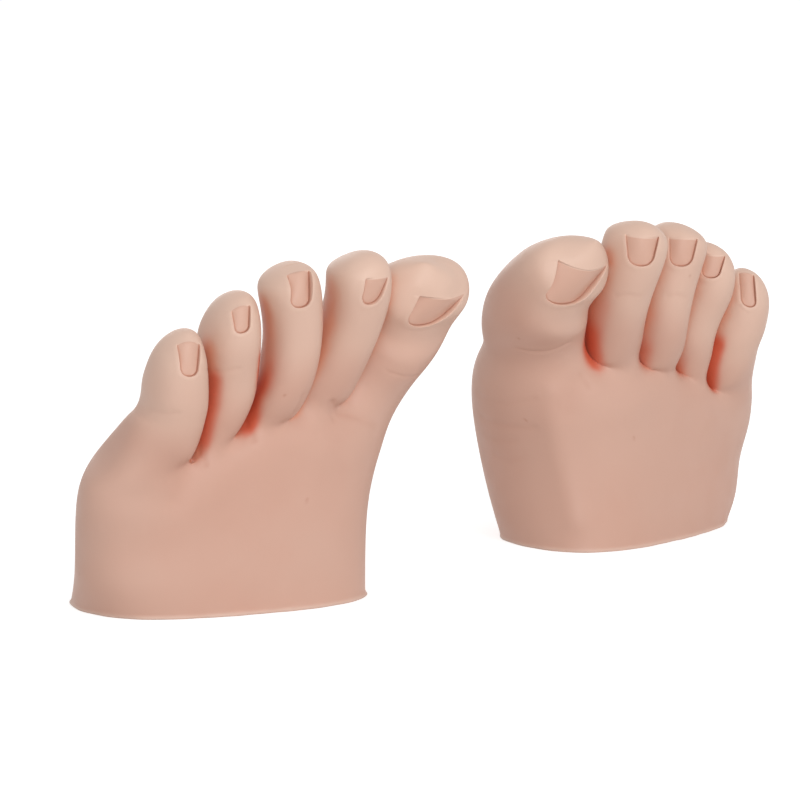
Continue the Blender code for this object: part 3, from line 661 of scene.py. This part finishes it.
def rimLoop(faces):
    # the open edge of the skin, in order
    pairs, counts = np.unique(edgePairs(faces), axis=0, return_counts=True)
    nextTo = {}
    for a, b in pairs[counts == 1].tolist():
        nextTo.setdefault(a, []).append(b)
        nextTo.setdefault(b, []).append(a)
    start = next(iter(nextTo))
    loop, before = [start], None
    while True:
        ahead = [v for v in nextTo[loop[-1]] if v != before][0]
        if ahead == start:
            return loop
        before = loop[-1]
        loop.append(ahead)


def pressLip(co, matrix):
    # the lip of the cut stands out a little and is not quite even; gives how near the cut each point is
    low = smoothStep(1.0 - co[:, 2] / baseCut["lipHeight"])
    outward = co[:, :2] - cavityOutline(matrix).mean(axis=0)
    outward /= np.maximum(np.linalg.norm(outward, axis=1), 1e-6)[:, None]
    angle = np.arctan2(outward[:, 1], outward[:, 0])
    uneven = np.ones(len(co))
    for size, turns, start in baseCut["waves"]:
        uneven += size * np.sin(angle * turns + start)
    co[:, :2] += outward * (low ** 2 * baseCut["lip"] * uneven)[:, None]
    return low


def closeBase(co, faces, matrix):
    # gives the points and faces to add, and for each new point the old one it takes its marks from
    loop = rimLoop(faces)
    ring = co[loop][:, :2]
    outline = cavityOutline(matrix)
    centre = outline.mean(axis=0)
    rays = ring - centre
    reach = np.linalg.norm(rays, axis=1)
    rays /= reach[:, None]
    inner = outlineReach(outline, centre, rays)
    rings = []
    flat = [reach - baseCut["edge"], *(lerp(reach, inner, t) for t in baseCut["rings"]),
            inner + baseCut["edge"]]
    heights = [0.0] * len(flat) + [baseCut["edge"], baseCut["deep"]]
    for distance, height in zip(flat + [inner, inner], heights):
        rings.append(np.column_stack((centre + rays * distance[:, None], np.full(len(loop), height))))
    co[loop, 2] = baseCut["edge"]
    rows = [loop]
    count = len(co)
    for k in range(len(rings)):
        rows.append(list(range(count + k * len(loop), count + (k + 1) * len(loop))))
    added = []
    first = [f for f in faces if loop[0] in f.tolist() and loop[1] in f.tolist()][0].tolist()
    forward = first[(first.index(loop[0]) + 1) % len(first)] == loop[1]
    for lower, upper in zip(rows, rows[1:]):
        for i in range(len(loop)):
            j = (i + 1) % len(loop)
            quad = (lower[j], lower[i], upper[i], upper[j])
            added.append(np.array(quad if forward else (lower[i], lower[j], upper[j], upper[i])))
    added.append(np.array(rows[-1][::-1] if forward else rows[-1]))
    return np.concatenate(rings), added, loop * len(rings)


# ---- marks on the skin: width and height in mm, how much darker (painted shade in the creases, grooves and small dents), then the spots in the picture
skinMarks = {
    "left": [
        (0.5, -0.13, 0.08, (387, 368), (400, 370), (415, 369)),
        (0.6, -0.08, 0.04, (150, 410), (162, 413), (178, 413)),
        (0.7, -0.12, 0.04, (200, 368), (216, 371), (238, 369)),
        (1.0, -0.30, 0.12, (332, 402), (338, 412), (352, 415), (374, 426)),
        (0.8, -0.20, 0.10, (331, 404), (334, 420)),
        (0.8, -0.25, 0.12, (198, 452), (206, 464)),
        (0.8, -0.25, 0.12, (246, 424), (254, 440)),
        (0.9, -0.25, 0.12, (304, 395), (296, 412)),
        (3.4, -0.55, 0.05, (198, 458), (186, 478), (176, 500)),
        (0.35, -0.10, 0.55, (284.5, 395.6)),
        (0.40, -0.10, 0.60, (307, 500.5)),
        (0.35, -0.10, 0.60, (79.5, 574)),
        (0.35, -0.10, 0.55, (76, 565)),
        (2.2, 1.2, 0.0, (367, 578), (369, 585)),
        (1.8, 0.6, 0.0, (71, 607), (73, 610)),
        (7.0, -1.3, 0.0, (442, 342)),
        (8.0, 2.3, 0.0, (401, 376), (398, 392)),
    ],
    "right": [
        (0.7, -0.25, 0.10, (519, 349), (535, 352), (550, 351), (568, 343)),
        (0.5, -0.16, 0.08, (616, 296), (628, 295), (640, 296)),
        (0.5, -0.16, 0.08, (667, 296), (676, 295), (686, 297)),
        (0.9, -0.14, 0.05, (478, 395), (504, 404), (534, 399)),
        (0.9, -0.20, 0.08, (481, 417), (510, 427), (535, 427)),
        (0.9, -0.16, 0.06, (495, 455), (511, 462), (526, 457)),
        (0.8, -0.12, 0.05, (486, 436), (500, 441), (516, 441)),
        (0.9, -0.25, 0.10, (581, 375), (590, 387)),
        (4.2, 0.8, 0.0, (553, 395), (556, 430), (564, 470), (577, 520)),
        (3.2, -0.35, 0.05, (575, 385), (570, 410)),
        (0.40, -0.10, 0.45, (518.5, 338.5)),
        (0.40, -0.10, 0.50, (525.4, 420.3)),
        (0.40, -0.10, 0.55, (634, 438.3)),
        (0.35, -0.08, 0.45, (690, 276)),
        (1.8, 0.4, 0.0, (724, 519)),
        (3.0, 0.5, 0.0, (603, 365), (620, 366.5), (634, 366)),
        (3.0, 0.45, 0.0, (652, 368), (666, 369)),
        (3.0, 0.45, 0.0, (686, 375), (698, 377)),
    ],
}


# where light glows red through the silicone between two toes: reach in mm, how red, then the spots
paintedGlowLines = {
    "left": [
        (3.2, 0.75, (214, 380), (210, 410), (203, 440)),
        (3.6, 1.0, (259, 360), (256, 392), (249, 424)),
        (3.0, 0.50, (320, 320), (314, 350), (300, 395)),
        (3.4, 0.45, (374, 345), (356, 374), (341, 398)),
        (7.0, 0.10, (205, 445), (190, 470), (180, 500)),
    ],
    "right": [
        (4.4, 0.95, (589, 335), (587, 352), (591, 368)),
        (6.0, 0.40, (601, 306), (592, 326)),
        (3.6, 0.50, (644, 350), (641, 362)),
        (5.0, 0.25, (652, 318), (647, 340)),
        (3.6, 0.50, (680, 352), (676, 370)),
        (5.0, 0.25, (687, 322), (683, 340)),
        (3.4, 1.0, (717, 345), (711, 366), (708, 384)),
        (9.0, 0.12, (490, 420), (520, 428)),
    ],
}


def nearLine(co, tree, line, width):
    # one on the line, falling off to nought over its width
    spots = [np.array(castThrough(tree, x, y)) for x, y in line]
    far = np.full(len(co), np.inf)
    for a, b in zip(spots, spots[1:] + spots[-1:]):
        span = b - a
        t = np.clip((co - a) @ span / max(span @ span, 1e-12), 0.0, 1.0)
        far = np.minimum(far, np.linalg.norm(co - a - np.outer(t, span), axis=1))
    return np.exp(-(far / (width * mm)) ** 2)


def pressMarks(co, normals, tree, marks):
    # gives how much darker each point of the skin gets, as painted shade in the creases, grooves and small
    # dents
    darker = np.zeros(len(co))
    for width, height, tone, *line in marks:
        near = nearLine(co, tree, line, width)
        co += normals * (near * height * mm)[:, None]
        darker = np.maximum(darker, near * tone)
    return darker


def paintedGlowOf(co, tree, spots):
    # painted red glow of light shining through the silicone between the toes, falling off from the given
    # lines
    pale = np.ones(len(co))
    for width, tone, *line in spots:
        pale *= 1.0 - nearLine(co, tree, line, width) * tone
    return 1.0 - pale


# ---- materials
siliconeFinish = {
    # painted light and shade in this palette: the pale tone is painted light on the toe ends, the two reds
    # are a painted red glow of light through the silicone with shade in the hollows between the toes, and
    # the crevice tone is painted shade in the crevices and creases
    "body": (0.628, 0.388, 0.303), "warm": (0.60, 0.333, 0.250), "pale": (0.76, 0.535, 0.425),
    "hollowGlow": (0.72, 0.32, 0.20), "deep": (0.62, 0.11, 0.05), "plate": (0.63, 0.365, 0.275),
    "crevice": (0.45, 0.19, 0.125), "lip": (0.74, 0.55, 0.46), "roughness": (0.42, 0.54),
    "patchScale": 26.0, "patches": (0.35, 0.72, 0.0, 0.55), "waveScale": 120.0, "grainScale": 1400.0,
    "waveBump": (0.25, 0.5 * mm), "grainBump": (0.05, 0.2 * mm), "bending": 1.41,
    # the skin's layers over its own tones: where each starts and ends, how much it shows, and its colour;
    # the toe ends carry painted light, the hollows and the glow between the toes a painted red glow with
    # shade, the crevices and marks painted shade, the nail plate its own tone and the lip a lighter tone
    "layers": (("toeLight", 0.0, 1.0, 0.8, "pale"), ("plate", 0.3, 0.9, 0.75, "plate"),
               ("hollowGlow", 0.34, 0.90, 0.9, "hollowGlow"), ("paintedGlow", 0.0, 1.0, 0.95, "deep"),
               ("crevice", 0.05, 0.95, 0.95, "crevice"), ("mark", 0.0, 1.0, None, "crevice"),
               ("lip", 0.0, 1.0, 0.6, "lip")),
}
foamFinish = {"body": (0.80, 0.74, 0.58), "dark": (0.62, 0.55, 0.40), "cellScale": 900.0,
              "cells": (0.1, 0.6), "bump": (0.6, 0.4 * mm), "roughness": 0.9}
plateFinish = {"body": (0.72, 0.68, 0.62), "dark": (0.66, 0.62, 0.56), "grainScale": 700.0,
               "bump": (0.2, 0.2 * mm), "roughness": (0.40, 0.55)}
wireFinish = {"body": (0.80, 0.80, 0.81), "dark": (0.62, 0.62, 0.64), "drawScale": 600.0,
              "roughness": (0.30, 0.50)}
noiseSpan = (0.3, 0.7)  # where most of a noise lies


class NodeBench:
    # short ways to add and join a material's nodes
    def __init__(self, name):
        self.material = bpy.data.materials.new(name)
        self.material.use_nodes = True
        self.nodes = self.material.node_tree.nodes
        self.links = self.material.node_tree.links
        self.shader = self.nodes["Principled BSDF"]

    def put(self, kind, **values):
        node = self.nodes.new(kind)
        for key, value in values.items():
            setattr(node, key, value)
        return node

    def noise(self, scale, detail, place):
        node = self.put("ShaderNodeTexNoise")
        node.inputs["Scale"].default_value = scale
        node.inputs["Detail"].default_value = detail
        self.links.new(place, node.inputs["Vector"])
        return node.outputs["Fac"]

    def reach(self, value, low, high, start=0.0, end=1.0):
        node = self.put("ShaderNodeMapRange", interpolation_type="SMOOTHSTEP")
        self.links.new(value, node.inputs["Value"])
        for key, number in (("From Min", low), ("From Max", high), ("To Min", start), ("To Max", end)):
            node.inputs[key].default_value = number
        return node.outputs["Result"]

    def mix(self, share, first, second):
        node = self.put("ShaderNodeMix", data_type="RGBA")
        self.links.new(share, node.inputs["Factor"])
        for socket, value in ((node.inputs[6], first), (node.inputs[7], second)):
            if isinstance(value, tuple):
                socket.default_value = (*value, 1.0)
            else:
                self.links.new(value, socket)
        return node.outputs[2]

    def marked(self, name):
        return self.put("ShaderNodeAttribute", attribute_name=name).outputs["Fac"]

    def give(self, key, value):
        self.links.new(value, self.shader.inputs[key])

    def bump(self, height, strength, distance, before=None):
        node = self.put("ShaderNodeBump")
        node.inputs["Strength"].default_value = strength
        node.inputs["Distance"].default_value = distance
        self.links.new(height, node.inputs["Height"])
        if before:
            self.links.new(before, node.inputs["Normal"])
        return node.outputs["Normal"]


def siliconeMaterial():
    bench = NodeBench("softSilicone")
    look = siliconeFinish
    place = bench.put("ShaderNodeTexCoord").outputs["Object"]
    patches = bench.noise(look["patchScale"], 3.0, place)
    colour = bench.mix(bench.reach(patches, *look["patches"]), look["body"], look["warm"])
    for layer, low, high, most, tone in look["layers"]:
        share = bench.marked(layer)
        if most is not None:
            share = bench.reach(share, low, high, 0.0, most)
        colour = bench.mix(share, colour, look[tone])
    bench.give("Base Color", colour)
    bench.shader.inputs["IOR"].default_value = look["bending"]
    waves = bench.noise(look["waveScale"], 4.0, place)
    bench.give("Roughness", bench.reach(waves, *noiseSpan, *look["roughness"]))
    swells = bench.bump(bench.noise(look["waveScale"], 2.0, place), *look["waveBump"])
    bench.give("Normal", bench.bump(bench.noise(look["grainScale"], 3.0, place), *look["grainBump"], swells))
    return bench.material


def foamMaterial():
    bench = NodeBench("rigidFoam")
    place = bench.put("ShaderNodeTexCoord").outputs["Object"]
    cells = bench.put("ShaderNodeTexVoronoi")
    cells.inputs["Scale"].default_value = foamFinish["cellScale"]
    bench.links.new(place, cells.inputs["Vector"])
    depth = bench.reach(cells.outputs["Distance"], *foamFinish["cells"])
    colour = bench.mix(depth, foamFinish["body"], foamFinish["dark"])
    bench.give("Base Color", colour)
    bench.give("Normal", bench.bump(depth, *foamFinish["bump"]))
    bench.shader.inputs["Roughness"].default_value = foamFinish["roughness"]
    return bench.material


def plateMaterial():
    bench = NodeBench("mouldedPlate")
    place = bench.put("ShaderNodeTexCoord").outputs["Object"]
    grain = bench.noise(plateFinish["grainScale"], 4.0, place)
    colour = bench.mix(bench.reach(grain, *noiseSpan), plateFinish["body"], plateFinish["dark"])
    bench.give("Base Color", colour)
    bench.give("Roughness", bench.reach(grain, *noiseSpan, *plateFinish["roughness"]))
    bench.give("Normal", bench.bump(grain, *plateFinish["bump"]))
    return bench.material


def wireMaterial():
    bench = NodeBench("drawnAluminium")
    place = bench.put("ShaderNodeTexCoord").outputs["Object"]
    drawn = bench.noise(wireFinish["drawScale"], 5.0, place)
    colour = bench.mix(bench.reach(drawn, *noiseSpan), wireFinish["body"], wireFinish["dark"])
    bench.give("Base Color", colour)
    bench.shader.inputs["Metallic"].default_value = 1.0
    bench.give("Roughness", bench.reach(drawn, *noiseSpan, *wireFinish["roughness"]))
    return bench.material


silicone = siliconeMaterial()
foam, plateStuff, aluminium = foamMaterial(), plateMaterial(), wireMaterial()
for side in stance:
    for node, material in ((side + "_core", foam), (side + "_base_plate", plateStuff)):
        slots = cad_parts[node].data.materials
        slots.clear()
        slots.append(material)
print("materials made")


# ---- stand each skin on its place, finish it and part it at the toes' roots
blendLength = 10 * mm
# painted light on the toes, growing along the way from knuckle to tip, in two steps: share of the tone,
# start and length
toeLightSteps = {"steps": ((0.6, -0.35, 0.6), (0.4, 0.45, 0.65)), "bigToeLag": 0.35}


def paintedToeLight(co, matrix, name):
    # share of the painted light: nought at the toe's root, one at its tip
    points = toeLine(toes[name])[2]
    knuckle, tip = matrix @ points[1], matrix @ points[3]
    line = np.array(tip - knuckle)
    share = (co - np.array(knuckle)) @ line / (line @ line)
    (first, start, length), (second, lateStart, lateLength) = toeLightSteps["steps"]
    if name == "big_toe":
        start += toeLightSteps["bigToeLag"]
    return (first * smoothStep((share - start) / length)
            + second * smoothStep((share - lateStart) / lateLength))


def placedSkin(side):
    # the smooth skin on its place, in the world, with its faces turned out
    bm = bmesh.new()
    bm.from_mesh(smooth)
    bm.transform(footMatrix(side))
    if stance[side]["side"] < 0:
        bmesh.ops.reverse_faces(bm, faces=bm.faces)
    return meshFrom(bm, side + "Skin")


def makePiece(name, co, faces, layers, normals, material):
    used = np.unique(np.concatenate(faces))
    places = np.full(len(co), -1)
    places[used] = np.arange(len(used))
    mesh = meshOf(name, co[used].tolist(), [places[f].tolist() for f in faces])
    mesh.polygons.foreach_set("use_smooth", [True] * len(faces))
    for key, values in layers.items():
        layer = mesh.attributes.new(key, "FLOAT", "POINT")
        layer.data.foreach_set("value", values[used])
    mesh.normals_split_custom_set_from_vertices(normals[used].tolist())
    mesh.materials.append(material)
    return newObject(name, mesh)


def bendSpan(name, matrix, rim):
    # gives where a toe's bend would start, above its highest seam point, and end, that length further along
    # the toe
    along = upFrom(toes[name])
    root = footPoint(toes[name]["root"])
    seam = np.array([matrix.inverted() @ Vector(p) for p in rim])
    start = root + along * (max((seam - np.array(root)) @ np.array(along)))
    return matrix @ start, matrix @ (start + along * blendLength)


wireShape = {
    "radius": 1.5 * mm, "corners": 12, "anchorHeight": 12 * mm, "anchorSpread": 0.72,
    "ends": (0.30, 0.72), "lowerSteps": 14, "upperSteps": 14, "roundEnd": (0.15, 0.6, 0.92),
    "hinges": {"little_toe": (-0.18, 0.79), "fourth_toe": (-0.16, 0.86), "third_toe": (-0.16, 0.94),
               "second_toe": (-0.16, 0.97), "big_toe": (-0.02, 1.02)},
}


def wireRoute(name):
    toe, number = toes[name], list(toes).index(name)
    root = footPoint(toe["root"])
    span = [forefoot["webs"][2 * number + k][0] for k in (0, 2)]
    hinge = footPoint((sum(span) / 2.0, *wireShape["hinges"][name]))
    along = upFrom(toe)
    height = wireShape["anchorHeight"] / forefoot["webHeight"]
    spread = root.x / (forefoot["halfWidth"] * forefoot["topWidth"]) * wireShape["anchorSpread"]
    x, y = sectionPoint(sectionAt(height), spread, 0.0)
    start = Vector((x, y, wireShape["anchorHeight"]))
    bend = hinge - along * (hinge - start).length / 2.0
    points = []
    for k in range(wireShape["lowerSteps"]):
        t = k / wireShape["lowerSteps"]
        points.append(start.lerp(bend, t).lerp(bend.lerp(hinge, t), t))
    points.append(hinge)
    reach = toeLine(toe)[1][3]
    for t in np.linspace(*wireShape["ends"], wireShape["upperSteps"]):
        points.append(toeFrame(toe, reach * t)[0])
    return points


def makeWire(name, route, material):
    # a drawn wire with rounded ends, as one swept skin
    points, radii = [], []
    radius, ends, n = wireShape["radius"], wireShape["roundEnd"], wireShape["corners"]
    first, last = (route[1] - route[0]).normalized(), (route[-1] - route[-2]).normalized()
    for share in ends:
        points.append(route[0] + first * radius * (1.0 - math.sqrt(1.0 - share * share)))
        radii.append(share)
    points += route[1:-1]
    radii += [1.0] * (len(route) - 2)
    for share in ends[::-1]:
        points.append(route[-1] - last * radius * (1.0 - math.sqrt(1.0 - share * share)))
        radii.append(share)
    bm = bmesh.new()
    rows = []
    across = first.orthogonal().normalized()
    for k, (point, size) in enumerate(zip(points, radii)):
        ahead = (points[min(k + 1, len(points) - 1)] - points[max(k - 1, 0)]).normalized()
        across = (across - ahead * across.dot(ahead)).normalized()
        up = ahead.cross(across)
        row = []
        for i in range(n):
            angle = 2.0 * math.pi * i / n
            outward = across * math.cos(angle) + up * math.sin(angle)
            row.append(bm.verts.new(point + outward * radius * size))
        rows.append(row)
    for lower, upper in zip(rows, rows[1:]):
        for i in range(n):
            bm.faces.new((lower[i], lower[(i + 1) % n], upper[(i + 1) % n], upper[i]))
    bm.faces.new(rows[0][::-1])
    bm.faces.new(rows[-1])
    for face in bm.faces:
        face.smooth = len(face.verts) == 4
    mesh = meshFrom(bm, name)
    mesh.materials.append(material)
    return newObject(name, mesh)


for side in stance:
    matrix = footMatrix(side)
    skin = placedSkin(side)
    co, faces, region = meshArrays(skin)
    wholeTree = treeOf(co, faces)
    seats = {}
    for number, name in enumerate(toes):
        ownFaces = [f for f, r in zip(faces, region) if r == number + 1]
        seat = nailSeat(treeOf(co, ownFaces), nailCorners[side][name])
        seats[name] = seat
        sizes = {key: round(seat[key], 1) for key in ("length", "rootHalf", "tipHalf", "bow", "dip")}
        print(side, name, "nail:", sizes, "skin over it", [round(h, 2) for h in seat["heights"]])
    fineSkin = refine(skin, seats)
    coarseCount = len(co)
    co, faces, region = meshArrays(fineSkin)
    hollows = gathered(fineSkin.attributes["hollowGlow"].data, "value")
    relax(co, faces, np.arange(len(co)) >= coarseCount)
    normals = normalsOf(co, faces)
    # the marks press creases and dents into the skin and paint shade into them
    marks = pressMarks(co, normals, wholeTree, skinMarks[side])
    # painted red glow and shade, only in the hollows between the toes
    paintedGlow = paintedGlowOf(co, wholeTree, paintedGlowLines[side]) * smoothStep(hollows / hollowGlow["glowFrom"])
    crevices, plates, toeLights = np.zeros(len(co)), np.zeros(len(co)), np.zeros(len(co))
    for number, name in enumerate(toes):
        own = np.zeros(len(co), dtype=bool)
        own[pointsOf(faces, region == number + 1)] = True
        co[own], crevices[own], plates[own] = carveNail(co[own], seats[name], nailLooks[name])
        # painted light on the toe ends, paler towards the tips
        toeLights[own] = paintedToeLight(co[own], matrix, name)
    low = pressLip(co, matrix)
    added, addedFaces, cameFrom = closeBase(co, faces, matrix)
    co = np.concatenate((co, added))
    faces = list(faces) + addedFaces
    region = np.concatenate((region, np.zeros(len(addedFaces), dtype=int)))
    layers = {"hollowGlow": hollows, "crevice": crevices, "plate": plates, "toeLight": toeLights, "mark": marks,
              "lip": low, "paintedGlow": paintedGlow}
    layers = {key: np.concatenate((values, values[cameFrom])) for key, values in layers.items()}
    normals = normalsOf(co, faces)
    print(side, "foot finished:", len(faces), "faces")
    ownFaces = [f for f, r in zip(faces, region) if r == 0]
    piece = makePiece(side + "_forefoot", co, ownFaces, layers, normals, silicone)
    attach(piece, "feet")
    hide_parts(side + "_forefoot_skin")
    for number, name in enumerate(toes):
        ownFaces = [f for f, r in zip(faces, region) if r == number + 1]
        own = region == number + 1
        rim = np.intersect1d(pointsOf(faces, own), pointsOf(faces, ~own))
        start, end = bendSpan(name, matrix, co[rim])
        piece = makePiece(side + "_" + name + "_skin", co, ownFaces, layers, normals, silicone)
        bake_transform(piece)
        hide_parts(side + "_" + name)
        route = [matrix @ point for point in wireRoute(name)]
        wire = makeWire(side + "_" + name + "_core_wire", route, aluminium)
        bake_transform(wire)
        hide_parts(side + "_" + name + "_wire")
print("both feet parted at the toes' roots")

# ---- floor, lights, world
studio = {"sky": 0.58, "floorGlow": 0.60, "floorTone": 0.72, "floorReach": 9}
lamps = {
    "keyLight": {"spot": (0.75, -1.15, 0.75), "aim": (0, 0, 0.04), "size": 0.9, "power": 6.6},
    "fillLight": {"spot": (0.10, -1.45, 0.14), "aim": (0, 0, 0.05), "size": 0.7, "power": 7.0},
    "backLight": {"spot": (-0.5, 1.5, 0.7), "aim": (0, 0, 0.05), "size": 1.2, "power": 5.0},
}
far = studio["floorReach"]
corners = [(-far, -far, 0), (far, -far, 0), (far, far, 0), (-far, far, 0)]
floorMesh = meshOf("studioFloor", corners, [(0, 1, 2, 3)])
floor = newObject("studioFloor", floorMesh)


def addRayShare(nodes, links):
    # one for what the camera sees directly, in gloss or through glass
    path = nodes.new("ShaderNodeLightPath")
    total = path.outputs["Is Camera Ray"]
    for key in ("Is Glossy Ray", "Is Transmission Ray"):
        both = nodes.new("ShaderNodeMath")
        both.operation = "MAXIMUM"
        links.new(total, both.inputs[0])
        links.new(path.outputs[key], both.inputs[1])
        total = both.outputs[0]
    return total


def floorMaterial():
    # pale floor: a glow that only the camera sees, under a thin lit layer that keeps the shadow
    bench = NodeBench("studioFloor")
    sockets = bench.shader.inputs
    sockets["Base Color"].default_value = (studio["floorTone"],) * 3 + (1.0,)
    sockets["Roughness"].default_value = 0.9
    sockets["Specular IOR Level"].default_value = 0.0
    sockets["Emission Color"].default_value = (1.0, 1.0, 1.0, 1.0)
    scale = bench.put("ShaderNodeMath", operation="MULTIPLY")
    scale.inputs[1].default_value = studio["floorGlow"]
    bench.links.new(addRayShare(bench.nodes, bench.links), scale.inputs[0])
    bench.give("Emission Strength", scale.outputs[0])
    return bench.material


floorMesh.materials.append(floorMaterial())


def softLight(name, spot, aim, size, power):
    data = bpy.data.lights.new(name, "AREA")
    data.shape = "DISK"
    data.size = size
    data.energy = power
    lamp = newObject(name, data)
    lamp.location = spot
    lamp.rotation_euler = (Vector(aim) - Vector(spot)).to_track_quat("-Z", "Y").to_euler()


for name, look in lamps.items():
    softLight(name, **look)
world = bpy.data.worlds.new("studioWorld")
world.use_nodes = True
bpy.context.scene.world = world
nodes, links = world.node_tree.nodes, world.node_tree.links
background = nodes["Background"]
background.inputs["Color"].default_value = (1.0, 1.0, 1.0, 1.0)
level = nodes.new("ShaderNodeMapRange")
level.inputs["To Min"].default_value = studio["sky"]
level.inputs["To Max"].default_value = 1.0
links.new(addRayShare(nodes, links), level.inputs["Value"])
links.new(level.outputs["Result"], background.inputs["Strength"])
bpy.context.scene.view_settings.view_transform = "Standard"
print("studio set")
